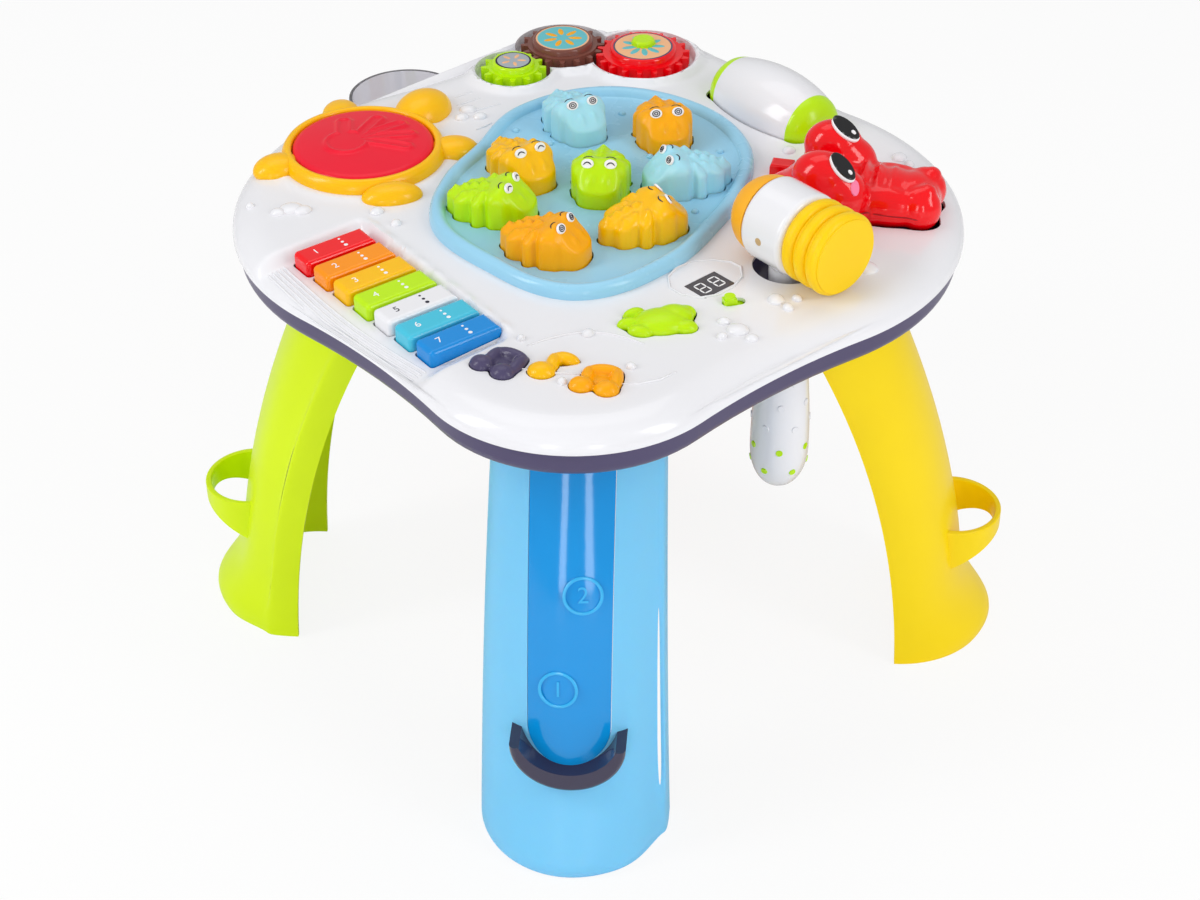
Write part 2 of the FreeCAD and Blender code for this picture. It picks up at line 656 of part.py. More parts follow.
axle_seat = Part.makeCylinder(v.axle_round + v.pin_fit / 2, 2 * axle_reach + 4, Vector(-axle_reach - 2, 0, 0), X_AXIS)
cradle_shape = uprights[0].fuse(uprights[1]).cut(axle_seat)
keep(shaped("RollerCradle", cradle_shape, roller_place), "roller_cradle")

# Turtle drum: a ring with a head, four feet and a tail, and the pad inside it
DRUM_MIDDLE = Vector(-158, 45, 0)
ring_height = v.drum_ring_top - v.table_top
turtle = Part.makeCylinder(v.drum_ring_round, ring_height, Vector(0, 0, v.table_top))
turtle = turtle.makeFillet(4, [edge for edge in turtle.Edges if edge.BoundBox.ZMin > v.drum_ring_top - 0.1])
TURTLE_LIMBS = ((31, 60, 19, 15, 13, 65), (57, 8, 14, 10, 8, 10), (24, -53, 16, 9, 8, 15),
                (-52, -22, 13, 11, 9, 30), (-22, 53, 13, 11, 7, 100))
for along, across, length, width, height, angle in TURTLE_LIMBS:
    limb = Part.makeSphere(1)
    stretch = FreeCAD.Matrix()
    stretch.scale(length, width, height)
    limb = limb.transformGeometry(stretch)
    limb.rotate(Vector(), Z_AXIS, angle)
    limb.translate(Vector(along, across, v.table_top))
    below = Part.makeBox(60, 60, 30, Vector(along - 30, across - 30, v.table_top - 30))
    turtle = turtle.fuse(limb.cut(below))
turtle = turtle.cut(Part.makeCylinder(v.drum_round + v.travel_gap, 40, Vector(0, 0, v.table_top - 1)))
keep(shaped("TurtleRing", turtle.removeSplitter(), Placement(DRUM_MIDDLE, Rotation())), "turtle_ring")

pad_low = v.table_top + v.drum_travel + 1
pad = Part.makeCylinder(v.drum_round, v.drum_ring_top - 1 - pad_low, Vector(0, 0, pad_low))
crown = Part.makeSphere(1)
stretch = FreeCAD.Matrix()
stretch.scale(v.drum_round, v.drum_round, 5)
crown = crown.transformGeometry(stretch)
crown.translate(Vector(0, 0, v.drum_ring_top - 1))
stem_low = v.board_top + v.dome_height + v.drum_travel + v.fit_gap
stem = Part.makeCylinder(8, pad_low + 1 - stem_low, Vector(0, 0, stem_low))
flange_top = v.table_top - v.shell_wall - v.fit_gap
collar = Part.makeCylinder(13, 2, Vector(0, 0, flange_top - 2))
pad = pad.fuse([crown, stem, collar]).removeSplitter()
keep(shaped("DrumPad", pad, Placement(DRUM_MIDDLE, Rotation())), "drum_pad")

# Hammer, stored with its handle down through the table
HAMMER_PLACE = Vector(123, -74, 0)
HAMMER_ANGLE = -45
hammer_frame = Placement(HAMMER_PLACE + Vector(0, 0, v.hammer_height), Rotation(Z_AXIS, HAMMER_ANGLE))
core_half = v.hammer_core / 2
core = Part.makeCylinder(v.hammer_round, v.hammer_core, Vector(-core_half, 0, 0), X_AXIS)
core = core.makeFillet(4, [edge for edge in core.Edges if edge.BoundBox.XLength < 0.01])
neck_bore = Part.makeCylinder(v.handle_neck - 2, v.hammer_round + 4, Vector(0, 0, -v.hammer_round - 4))
keep(shaped("HammerCore", core.cut(neck_bore), hammer_frame), "hammer_core")
soft = Part.makeSphere(v.hammer_round - 1.5)
squash = FreeCAD.Matrix()
squash.scale(0.9, 1, 1)
soft = soft.transformGeometry(squash)
soft.translate(Vector(-core_half, 0, 0))
soft = soft.common(Part.makeBox(60, 80, 80, Vector(-60 - core_half, -40, -40)))
keep(shaped("HammerSoftEnd", soft, hammer_frame), "hammer_soft_end")
bellows = Part.makeCylinder(v.hammer_round - 3, v.hammer_bellows, Vector(core_half, 0, 0), X_AXIS)
rib_width = v.hammer_bellows / 3
for rib in range(3):
    middle = core_half + rib_width * (rib + 0.5)
    disc = Part.makeCylinder(v.hammer_round - 0.2, rib_width * 0.86, Vector(middle - rib_width * 0.43, 0, 0), X_AXIS)
    disc = disc.makeFillet(rib_width * 0.36, [edge for edge in disc.Edges if edge.BoundBox.XLength < 0.01])
    bellows = bellows.fuse(disc)
keep(shaped("HammerBellows", bellows.removeSplitter(), hammer_frame), "hammer_bellows")
neck_level = v.hammer_height - v.hammer_round - v.fit_gap
handle_points = [Vector(0, 0, v.handle_low), Vector(9, 0, v.handle_low + 1.5),
                 Vector(15, 0, v.handle_low + 9), Vector(v.handle_belly, 0, v.handle_low + 34),
                 Vector(v.handle_belly - 1.5, 0, v.handle_low + 70), Vector(v.handle_neck + 1, 0, v.handle_low + 125),
                 Vector(v.handle_neck, 0, neck_level)]
profile = Part.BSplineCurve()
profile.interpolate(handle_points)
neck_top = v.hammer_height - v.hammer_round * 0.5
stub = v.handle_neck - 2.1
closing = Part.makePolygon([handle_points[-1], Vector(stub, 0, neck_level), Vector(stub, 0, neck_top),
                            Vector(0, 0, neck_top), handle_points[0]])
handle = Part.Face(Part.Wire([profile.toShape()] + closing.Edges)).revolve(Vector(), Z_AXIS, 360)
keep(shaped("HammerHandle", handle, Placement(HAMMER_PLACE, Rotation())), "hammer_handle")

# Legs: bowed half tubes that flare into a foot, with a tongue into the tray
LEG_STEPS = 15


def leg_outer(level):
    """Reach of the outer face from the table's middle at a height."""
    rise = max(level - v.ankle_height, 0)
    reach = v.ankle_reach - 0.13 * rise - 0.00078 * rise * rise
    if level < v.ankle_height:
        blend = min(max((v.ankle_height - level) / (v.ankle_height - 10), 0), 1)
        reach += (v.foot_reach - v.ankle_reach) * (3 * blend ** 2 - 2 * blend ** 3)
    return reach


def leg_edge(level):
    """Reach of the open edge at a height."""
    return v.leg_edge_reach - 0.044 * level - 0.00072 * level ** 2 - 0.0000007 * level ** 3


def leg_wire(level, inset, back=0):
    """Half ellipse toward -Y, closed by a straight line, or by three when it reaches back."""
    edge = leg_edge(level) + back / 4
    half = v.leg_half_width - v.leg_taper * level - inset
    depth = leg_outer(level) - inset - edge
    points = []
    for step in range(9):
        angle = math.pi * (1 + step / 8)
        points.append(Vector(half * math.cos(angle), depth * math.sin(angle) - edge, level))
    curve = Part.BSplineCurve()
    curve.interpolate(Points=points, InitialTangent=Vector(0, -1, 0), FinalTangent=Vector(0, 1, 0))
    start, end = points[0], points[-1]
    if back:
        lines = [end, Vector(end.x, end.y + back, level), Vector(start.x, start.y + back, level), start]
    else:
        lines = [end, start]
    return Part.Wire([curve.toShape()] + Part.makePolygon(lines).Edges)


def leg_block(inset, low, high, back=0):
    """A loft through evenly spaced sections."""
    levels = [low + (high - low) * step / LEG_STEPS for step in range(LEG_STEPS + 1)]
    return Part.makeLoft([leg_wire(level, inset, back) for level in levels], True, False)


outer_block = leg_block(0, 0, v.tray_bottom)
inner_block = leg_block(v.leg_wall, -20, v.tray_bottom + 20, 8)
tube_wall = outer_block.cut(inner_block)
lid = Part.Face(leg_wire(v.tray_bottom, v.leg_wall / 2)).extrude(Vector(0, 0, -v.leg_wall))
tongue = Part.makeBox(v.tongue_width, v.tongue_depth, v.tongue_height + 3,
                      Vector(-v.tongue_width / 2, -v.tongue_reach - v.tongue_depth / 2, v.tray_bottom - 3))
leg_solid = tube_wall.fuse([lid, tongue])
LEGS = (("front_leg", 0), ("left_leg", -90), ("back_leg", 180), ("right_leg", 90))


def round_table(angle):
    return Placement(Vector(), Rotation(Z_AXIS, angle))


window_slot = Part.makeBox(2 * v.window_half, 200, v.window_high - v.window_low,
                           Vector(-v.window_half, -300, v.window_low))
window_round = Part.makeCylinder(v.window_half, 200, Vector(0, -300, v.window_low), Y_AXIS)
window_prism = window_slot.fuse(window_round)
gap_slot = Part.makeBox(2 * (v.window_half - v.fit_gap), 200, v.window_high - v.window_low - v.fit_gap,
                        Vector(-v.window_half + v.fit_gap, -300, v.window_low))
gap_round = Part.makeCylinder(v.window_half - v.fit_gap, 200, Vector(0, -300, v.window_low), Y_AXIS)
window = tube_wall.common(gap_slot.fuse(gap_round)).removeSplitter()
keep(shaped("ChuteWindow", window), "chute_window")
for label, angle in LEGS:
    shape = leg_solid if label != "front_leg" else leg_solid.cut(window_prism)
    keep(shaped(label.title().replace("_", ""), shape, round_table(angle)), label)

# Catcher lip: a crescent that stands out of the leg round the window's lower end
lip_level = v.window_low - 4
lip_rise = v.lip_height - v.lip_wall
lip_out = leg_outer(lip_level - v.lip_round) + v.lip_depth - 8
lip = Part.makeCylinder(v.lip_round, 60, Vector(0, -lip_out, lip_level), Y_AXIS)
lip = lip.makeFillet(4, [edge for edge in lip.Edges if edge.BoundBox.YMax < -lip_out + 0.01])
lip = lip.cut(Part.makeCylinder(v.lip_round - v.lip_wall, 70, Vector(0, -lip_out - 4, lip_level + lip_rise), Y_AXIS))
lip = lip.cut(Part.makeBox(100, 80, 60, Vector(-50, -lip_out - 10, lip_level)))
lip = lip.cut(outer_block).cut(inner_block)
lip = lip.common(Part.makeBox(100, 60, 80, Vector(-50, -lip_out, lip_level - 60)))
lip_solids = [item for item in lip.Solids if item.BoundBox.YMin < -lip_out + 1]
lip_solids.sort(key=lambda item: item.Volume)
keep(shaped("CatcherLip", lip_solids[-1]), "catcher_lip")

# Side hoops: a ring that tapers into a bracket under it
hoop = Part.makeCylinder(v.hoop_round, v.hoop_depth, Vector(0, -v.hoop_reach, v.hoop_height - v.hoop_depth))
hoop = hoop.cut(Part.makeCylinder(v.hoop_round - v.hoop_wall, v.hoop_depth + 2,
                                  Vector(0, -v.hoop_reach, v.hoop_height - v.hoop_depth - 1)))
hoop = hoop.makeFillet(1.2, [edge for edge in hoop.Edges if edge.BoundBox.ZMin > v.hoop_height - 0.01])
slope = Part.makeBox(120, 80, 40, Vector(-60, -80, -40))
slope.rotate(Vector(), X_AXIS, -30)
slope.translate(Vector(0, -v.hoop_reach + 2, v.hoop_height - v.hoop_depth))
hoop = hoop.cut(slope).cut(outer_block)
hoop = sorted(hoop.Solids, key=lambda item: item.Volume)[-1]
for label, angle in (("left_hoop", -90), ("right_hoop", 90)):
    keep(shaped(label.title().replace("_", ""), hoop, round_table(angle)), label)

# White top shell
shell_outer = lobed_block(0, v.rim_height, v.table_top, top_round=v.edge_round)
shell_inner = lobed_block(v.shell_wall, v.rim_height - 1, v.table_top - v.shell_wall,
                          top_round=v.edge_round - v.shell_wall)
skin = shell_outer.cut(shell_inner)

# The piano zone is sunk: a slab outside the keys' inner wall lowers the skin there
recess = Part.makeBox(v.key_length + 70, v.key_pitch * KEY_COUNT + 6, 20,
                      Vector(-v.key_length / 2 - 66, -(v.key_pitch * KEY_COUNT + 6) / 2, 0))
recess_place = Placement(KEY_ROW_MIDDLE + Vector(0, 0, v.recess_floor), Rotation(Z_AXIS, KEY_TURN))
recess.Placement = recess_place
pan = recess.copy()
pan.translate(Vector(0, 0, -v.shell_wall))
wall_grow = Part.makeBox(v.key_length + 70 + v.shell_wall, v.key_pitch * KEY_COUNT + 6 + 2 * v.shell_wall,
                         v.table_top - v.recess_floor + v.shell_wall,
                         Vector(-v.key_length / 2 - 66, -(v.key_pitch * KEY_COUNT + 6) / 2 - v.shell_wall,
                                -v.shell_wall))
wall_grow.Placement = recess_place
skin = skin.fuse(wall_grow.common(shell_outer)).cut(recess)
skin = skin.fuse(well_walls).cut(well_hollows)
# Boss tubes for the case screws
SCREW_SPOTS = (Vector(-60, -205, 0), Vector(60, -205, 0), Vector(196, 50, 0), Vector(-200, -30, 0),
               Vector(200, -60, 0), Vector(75, 185, 0), Vector(-105, 150, 0))
bosses = []
boss_holes = []
for spot in SCREW_SPOTS:
    bosses.append(Part.makeCylinder(4.5, v.table_top - v.shell_wall / 2 - v.rim_height + 6,
                                    Vector(spot.x, spot.y, v.rim_height - 6)))
    boss_holes.append(Part.makeCylinder(v.screw_round, 18, Vector(spot.x, spot.y, v.rim_height - 8)))
skin = skin.fuse(bosses).cut(boss_holes).removeSplitter()
skin_obj = shaped("ShellSkin", skin)

roller_opening = shaped("RollerOpening", barrel_shape(v.roller_gap), roller_place)
openings = [roller_opening, shaped("CradleSlots", Part.makeCompound(upright_slots), roller_place)]
openings.append(shaped("IslandOpening", island_block(v.island_rim_width + 1, v.table_top - 8, v.table_top + 1)))
openings.append(drill("DrumOpening", "9", (str(DRUM_MIDDLE.x), str(DRUM_MIDDLE.y), "$table_top - 8"), "20"))
openings.append(drill("HammerOpening", "$socket_round + 2", (str(HAMMER_PLACE.x), str(HAMMER_PLACE.y),
                                                            "$table_top - 16"), "30"))
openings.append(shaped("PawOpening", paw_button.opening(), at_place(PAW)))
openings.append(shaped("CrocOpening", croc_button.opening(), at_place(CROC)))
openings += note_tools + key_tools
DISPLAY_PLACE = (76, -100)
DISPLAY_ANGLE = 46
openings.append(shaped_box("DisplayOpening", 25.2, 18.2, 12, DISPLAY_PLACE + (v.table_top - 8,), DISPLAY_ANGLE))
SWITCH_PLACE = (91, -118)
SWITCH_ANGLE = 20
openings.append(shaped_box("SwitchOpening", 8 + v.switch_travel, 6.6, 12,
                           SWITCH_PLACE + (v.table_top - 8,), SWITCH_ANGLE))
keep(cut("TopShell", skin_obj, fuse("ShellOpenings", openings)), "top_shell")

# Display window, switch knob and the crocodile's tab
display = shaped_box("DisplayWindow", 25, 18, 3, DISPLAY_PLACE + (v.table_top - 3,), DISPLAY_ANGLE)
keep(display, "display_window")
knob_base = Part.makeBox(9 + v.switch_travel * 2, 12, 1.5, Vector(-4.5 - v.switch_travel, -6, -4.3))
knob_stem = Part.makeBox(8, 6, 7, Vector(-4, -3, -4))
knob_round = Part.makeCylinder(3.4, 2.5, Vector(0, 0, 2.4))
switch_knob = knob_stem.fuse([knob_base, knob_round]).removeSplitter()
switch_start = Placement(Vector(SWITCH_PLACE[0], SWITCH_PLACE[1], v.table_top), Rotation(Z_AXIS, SWITCH_ANGLE))
switch_start = switch_start.multiply(Placement(Vector(-v.switch_travel / 2, 0, 0), Rotation()))
keep(shaped("SwitchKnob", switch_knob, switch_start), "switch_knob")
tab = Part.makeBox(15, 11, 8, Vector(-7.5, -5.5, 0))
tab = tab.makeFillet(2, [edge for edge in tab.Edges if edge.BoundBox.ZMin > 7.9])
keep(shaped("CrocTab", tab, Placement(Vector(118, 39, v.table_top), Rotation(Z_AXIS, -10))), "croc_tab")

# Navy tray with leg sockets, board posts and the hammer's sleeve
tray_outer = lobed_block(v.tray_inset, v.tray_bottom, v.rim_height, bottom_round=7)
tray_inner = lobed_block(v.tray_inset + v.tray_wall, v.tray_bottom + v.tray_wall, v.rim_height + 1)
tray = tray_outer.cut(tray_inner)
socket_blocks = []
socket_holes = []
for label, angle in LEGS:
    wide = v.tongue_width + 2 * (v.fit_gap + v.tray_wall)
    deep = v.tongue_depth + 2 * (v.fit_gap + v.tray_wall)
    block = Part.makeBox(wide, deep, v.tongue_height + v.fit_gap + 2,
                         Vector(-wide / 2, -v.tongue_reach - deep / 2, v.tray_bottom))
    hole_wide = v.tongue_width + 2 * v.fit_gap
    hole_deep = v.tongue_depth + 2 * v.fit_gap
    hole = Part.makeBox(hole_wide, hole_deep, v.tongue_height + v.fit_gap + 1,
                        Vector(-hole_wide / 2, -v.tongue_reach - hole_deep / 2, v.tray_bottom - 1))
    for piece in (block, hole):
        piece.rotate(Vector(), Z_AXIS, angle)
    socket_blocks.append(block)
    socket_holes.append(hole)
sleeve_low = v.tray_bottom
sleeve = Part.makeCylinder(v.socket_round + 1.8, v.table_top - v.shell_wall - v.fit_gap - sleeve_low,
                           Vector(HAMMER_PLACE.x, HAMMER_PLACE.y, sleeve_low))
sleeve_hole = Part.makeCylinder(v.socket_round, 60, Vector(HAMMER_PLACE.x, HAMMER_PLACE.y, sleeve_low - 10))
BOARD_SPOTS = (Vector(-74, -62, 0), Vector(62, -92, 0), Vector(66, 86, 0), Vector(-58, 92, 0))
board_low = v.board_top - v.board_thick
posts = []
for spot in BOARD_SPOTS:
    posts.append(Part.makeCylinder(4, board_low - floor_inside + 1, Vector(spot.x, spot.y, floor_inside - 1)))
for spot in SCREW_SPOTS:
    posts.append(Part.makeCylinder(5.5, v.rim_height - 6 - v.fit_gap - floor_inside + 1,
                                   Vector(spot.x, spot.y, floor_inside - 1)))
tray = tray.fuse(socket_blocks + [sleeve] + posts)
tray_holes = socket_holes + [sleeve_hole]
for spot in SCREW_SPOTS:
    tray_holes.append(Part.makeCylinder(v.screw_round + 0.2, 30, Vector(spot.x, spot.y, v.tray_bottom - 2)))
    tray_holes.append(Part.makeCylinder(v.screw_head + 0.4, 5, Vector(spot.x, spot.y, v.tray_bottom - 1)))
# Battery bay: a box under the floor, open below, with a door flush in it
BAY_SIZE = (56, 54)
bay_low = v.tray_bottom - v.bay_depth


def bay_box(grow, low, high):
    wide = BAY_SIZE[0] + 2 * grow
    deep = BAY_SIZE[1] + 2 * grow
    return Part.makeBox(wide, deep, high - low, Vector(-wide / 2, -deep / 2, low))


tray = tray.fuse(bay_box(v.tray_wall, bay_low, v.tray_bottom + v.tray_wall / 2))
tray_holes.append(bay_box(0, bay_low - 1, v.tray_bottom))
grille = []
SPEAKER_PLACE = Vector(-62, 0, 0)
for ring_index in range(3):
    for step in range(8):
        spot = SPEAKER_PLACE + polar(45 * step + 10 * ring_index, 5 + 5.5 * ring_index)
        grille.append(Part.makeCylinder(1.2, 6, Vector(spot.x, spot.y, v.tray_bottom - 1)))
tray = tray.cut(tray_holes + grille).removeSplitter()
keep(shaped("BottomTray", tray), "bottom_tray")

# Battery door, cells, speaker, circuit board, contact domes and screws
door = bay_box(-v.fit_gap, bay_low, bay_low + v.tray_wall)
keep(shaped("BatteryDoor", door), "battery_door")
cell_level = bay_low + v.tray_wall + v.fit_gap + v.cell_round
cells = []
for row in (-1, 0, 1):
    cells.append(Part.makeCylinder(v.cell_round, 50.5, Vector(-25.25, 17 * row, cell_level), X_AXIS))
keep(shaped("BatteryCells", Part.makeCompound(cells)), "battery_cells")
speaker_low = v.tray_bottom + v.tray_wall + v.fit_gap
speaker = Part.makeCylinder(20, board_low - v.fit_gap - speaker_low, Vector(-62, 0, speaker_low))
keep(shaped("Speaker", speaker), "speaker")
board = Part.makeBox(160, 220, v.board_thick, Vector(-84, -110, board_low))
keep(shaped("CircuitBoard", board), "circuit_board")
domes = []
for x, y, angle in DINOS:
    domes.append(Part.makeCone(v.dome_round, v.dome_round * 0.7, v.dome_height, Vector(x, y, v.board_top)))
keep(shaped("ContactDomes", Part.makeCompound(domes)), "contact_domes")
side_domes = []
croc_contact = at_place(CROC).multVec(Vector(CROC_PLUNGER, 0, 0))
CONTACT_SPOTS = [Vector(PAW[0], PAW[1], 0), DRUM_MIDDLE, croc_contact]
CONTACT_SPOTS += [Vector(note[2], note[3], 0) for note in NOTES]
for spot in CONTACT_SPOTS:
    plate = Part.makeCylinder(7, v.board_thick, Vector(spot.x, spot.y, board_low))
    dome = Part.makeCone(v.dome_round, v.dome_round * 0.7, v.dome_height, Vector(spot.x, spot.y, v.board_top))
    foot = Part.makeCylinder(4, board_low - floor_inside, Vector(spot.x, spot.y, floor_inside))
    side_domes.append(plate.fuse([dome, foot]).removeSplitter())
keep(shaped("SideContacts", Part.makeCompound(side_domes)), "side_contacts")
screws = []
for spot in SCREW_SPOTS:
    head = Part.makeCylinder(v.screw_head, 2.4, Vector(spot.x, spot.y, v.tray_bottom + 1.4))
    shank = Part.makeCylinder(v.screw_round, 22, Vector(spot.x, spot.y, v.tray_bottom + 3.8))
    screws.append(head.fuse(shank).removeSplitter())
keep(shaped("CaseScrews", Part.makeCompound(screws)), "case_screws")

# Clear side cup, hung on the tray's back left flank
CUP_PLACE = Vector(-150, 172, 0)
cup_low = v.cup_rim - v.cup_depth
cup = Part.makeCone(v.cup_round * 0.86, v.cup_round, v.cup_depth, Vector(CUP_PLACE.x, CUP_PLACE.y, cup_low))
cup_inside = Part.makeCone(v.cup_round * 0.86 - v.cup_wall, v.cup_round - v.cup_wall, v.cup_depth,
                           Vector(CUP_PLACE.x, CUP_PLACE.y, cup_low + v.cup_wall))
cup = cup.cut(cup_inside)
table_block = lobed_block(v.tray_inset - v.fit_gap, v.tray_bottom - v.fit_gap, v.table_top)
cup = cup.cut(table_block)
keep(shaped("SideCup", sorted(cup.Solids, key=lambda item: item.Volume)[-1]), "side_cup")

doc.recompute()

failed = [obj.Name for obj in doc.Objects if "Invalid" in obj.State or "Error" in obj.State]
if failed:
    raise RuntimeError("failed objects: " + ", ".join(failed))
for label, obj in nodes.items():
    shape = obj.Shape
    if shape.isNull() or not shape.isValid():
        raise RuntimeError("bad shape: " + label)
    if not shape.Solids:
        raise RuntimeError("no solid: " + label)
os.makedirs("parts", exist_ok=True)
for label, obj in nodes.items():
    obj.Shape.exportStep("parts/" + label + ".step")
print(len(nodes), "sub-parts written")
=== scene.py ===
import math

import bmesh
import bpy
import numpy as np
from mathutils import Matrix, Vector
from mathutils.bvhtree import BVHTree
from mathutils.geometry import delaunay_2d_cdt


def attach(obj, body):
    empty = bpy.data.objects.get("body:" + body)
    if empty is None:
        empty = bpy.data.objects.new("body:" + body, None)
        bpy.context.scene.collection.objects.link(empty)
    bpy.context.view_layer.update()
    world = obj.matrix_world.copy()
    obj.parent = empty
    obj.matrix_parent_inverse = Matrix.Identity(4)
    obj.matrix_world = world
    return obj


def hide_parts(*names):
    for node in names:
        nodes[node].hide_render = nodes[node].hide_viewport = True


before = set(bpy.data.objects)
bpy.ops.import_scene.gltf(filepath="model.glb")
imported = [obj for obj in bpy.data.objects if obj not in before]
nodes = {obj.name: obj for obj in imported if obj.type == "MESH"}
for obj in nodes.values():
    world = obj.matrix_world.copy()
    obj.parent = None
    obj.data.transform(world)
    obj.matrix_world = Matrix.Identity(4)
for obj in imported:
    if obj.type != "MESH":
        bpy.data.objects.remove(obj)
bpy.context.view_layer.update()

MM = 0.001
scene = bpy.context.scene

# Camera, found from the legs' places and the circles on the top
PHOTO_WIDTH = 1200
PHOTO_HEIGHT = 900
FOCAL_PIXELS = 2284.45
CAMERA_PLACE = Vector((0.1033, -1.2675, 1.0768))
CAMERA_YAW = math.radians(4.63)
CAMERA_PITCH = math.radians(36.65)
CAMERA_ROLL = math.radians(-0.47)


def camera_axes():
    forward = Vector((-math.sin(CAMERA_YAW) * math.cos(CAMERA_PITCH),
                      math.cos(CAMERA_YAW) * math.cos(CAMERA_PITCH), -math.sin(CAMERA_PITCH)))
    level = Vector((math.cos(CAMERA_YAW), math.sin(CAMERA_YAW), 0))
    upright = level.cross(forward)
    right = level * math.cos(CAMERA_ROLL) + upright * math.sin(CAMERA_ROLL)
    up = upright * math.cos(CAMERA_ROLL) - level * math.sin(CAMERA_ROLL)
    return right, up, forward


RIGHT, UP, FORWARD = camera_axes()


def add_camera():
    data = bpy.data.cameras.new("PhotoCamera")
    data.sensor_fit = "HORIZONTAL"
    data.sensor_width = 36
    data.lens = 36 * FOCAL_PIXELS / PHOTO_WIDTH
    camera = bpy.data.objects.new("PhotoCamera", data)
    turn = Matrix((RIGHT, UP, -FORWARD)).transposed()
    camera.matrix_world = Matrix.Translation(CAMERA_PLACE) @ turn.to_4x4()
    scene.collection.objects.link(camera)
    scene.camera = camera


def sight(px, py):
    """Direction in which the camera sees a pixel of the photograph."""
    across = (px - PHOTO_WIDTH / 2) / FOCAL_PIXELS
    down = (py - PHOTO_HEIGHT / 2) / FOCAL_PIXELS
    return (FORWARD + RIGHT * across - UP * down).normalized()


def seen_at(px, py, height):
    """Point in the row frame at a height in mm that the camera sees at a pixel."""
    direction = sight(px, py)
    return CAMERA_PLACE + direction * ((height * MM - CAMERA_PLACE.z) / direction.z)


# Materials

def linear(colour):
    channels = [int(colour[place:place + 2], 16) / 255 for place in (1, 3, 5)]
    return [c / 12.92 if c <= 0.04045 else ((c + 0.055) / 1.055) ** 2.4 for c in channels]


def plastic(name, colour, roughness=0.3, coat=0.15, grain=0.12, mottle=0.04, transmission=0,
            subsurface=0):
    """Moulded plastic: a faint grain, a little unevenness in colour and gloss."""
    material = bpy.data.materials.new(name)
    material.use_nodes = True
    tree = material.node_tree
    shader = tree.nodes["Principled BSDF"]
    place = tree.nodes.new("ShaderNodeTexCoord")
    broad = tree.nodes.new("ShaderNodeTexNoise")
    broad.inputs["Scale"].default_value = 22
    broad.inputs["Detail"].default_value = 4
    fine = tree.nodes.new("ShaderNodeTexNoise")
    fine.inputs["Scale"].default_value = 1400
    fine.inputs["Detail"].default_value = 2
    tree.links.new(place.outputs["Object"], broad.inputs["Vector"])
    tree.links.new(place.outputs["Object"], fine.inputs["Vector"])
    base = linear(colour)
    mix = tree.nodes.new("ShaderNodeMix")
    mix.data_type = "RGBA"
    mix.inputs[6].default_value = [c * (1 - mottle) for c in base] + [1]
    mix.inputs[7].default_value = [min(1, c * (1 + mottle)) for c in base] + [1]
    tree.links.new(broad.outputs["Fac"], mix.inputs[0])
    tree.links.new(mix.outputs[2], shader.inputs["Base Color"])
    gloss = tree.nodes.new("ShaderNodeMapRange")
    gloss.inputs["To Min"].default_value = max(0.02, roughness - 0.06)
    gloss.inputs["To Max"].default_value = roughness + 0.06
    tree.links.new(broad.outputs["Fac"], gloss.inputs["Value"])
    tree.links.new(gloss.outputs["Result"], shader.inputs["Roughness"])
    bump = tree.nodes.new("ShaderNodeBump")
    bump.inputs["Strength"].default_value = grain
    bump.inputs["Distance"].default_value = 0.0002
    tree.links.new(fine.outputs["Fac"], bump.inputs["Height"])
    tree.links.new(bump.outputs["Normal"], shader.inputs["Normal"])
    shader.inputs["Specular IOR Level"].default_value = 0.24
    shader.inputs["Coat Weight"].default_value = coat
    shader.inputs["Coat Roughness"].default_value = 0.08
    shader.inputs["Transmission Weight"].default_value = transmission
    if subsurface:
        shader.inputs["Subsurface Weight"].default_value = subsurface
        shader.inputs["Subsurface Scale"].default_value = 0.004
    return material


WHITE = plastic("WhitePlastic", "#EDEDF1", 0.24, 0.5, 0.05, 0.01)
SKY = plastic("SkyPlastic", "#9AD2EE", 0.28, 0.3)
NAVY = plastic("NavyPlastic", "#4E4768", 0.32, 0.2)
LIP = plastic("LipPlastic", "#322C46", 0.12, 0.7)
LEG_BLUE = plastic("LegBlue", "#7ACAF4", 0.42, 0.05, 0.2, 0.03, 0, 0.15)
CHUTE_BLUE = plastic("ChuteBlue", "#0092DE", 0.12, 0.6, 0.03, 0.06)
LIME = plastic("LimePlastic", "#BDEC00", 0.28, 0.25)
LEG_LIME = plastic("LegLime", "#D6F000", 0.4, 0.1, 0.2)
LEG_YELLOW = plastic("LegYellow", "#FFDC00", 0.4, 0.1, 0.2)
YELLOW = plastic("YellowRubber", "#FFD000", 0.42, 0.05, 0.2, 0.04, 0, 0.1)
ORANGE = plastic("OrangePlastic", "#FFAC00", 0.36, 0.1, 0.15, 0.05, 0, 0.1)
AMBER = plastic("AmberPlastic", "#FFC000", 0.3, 0.2, 0.15, 0.04, 0, 0.1)
AQUA = plastic("AquaPlastic", "#A6E0F0", 0.36, 0.1, 0.15, 0.05, 0, 0.1)
DINO_LIME = plastic("DinoLime", "#BEEA00", 0.34, 0.15, 0.15, 0.05, 0, 0.1)
BACK_ORANGE = plastic("LegOrange", "#FF8A00", 0.4, 0.1, 0.2)
KEY_ORANGE = plastic("KeyOrange", "#FF9500", 0.24, 0.3)
SOFT_ORANGE = plastic("SoftOrange", "#FFB428", 0.4, 0.05, 0.2, 0.04, 0, 0.1)
BROWN = plastic("BrownPlastic", "#7C493E", 0.26, 0.3)
RED = plastic("RedPlastic", "#F4000F", 0.16, 0.5, 0.03, 0.04)
DRUM_RED = plastic("DrumRed", "#EE1030", 0.34, 0.1, 0.2, 0.05)
CYAN = plastic("CyanPlastic", "#45C2DE", 0.24, 0.3)
ROYAL = plastic("RoyalPlastic", "#0A8CDC", 0.24, 0.3)
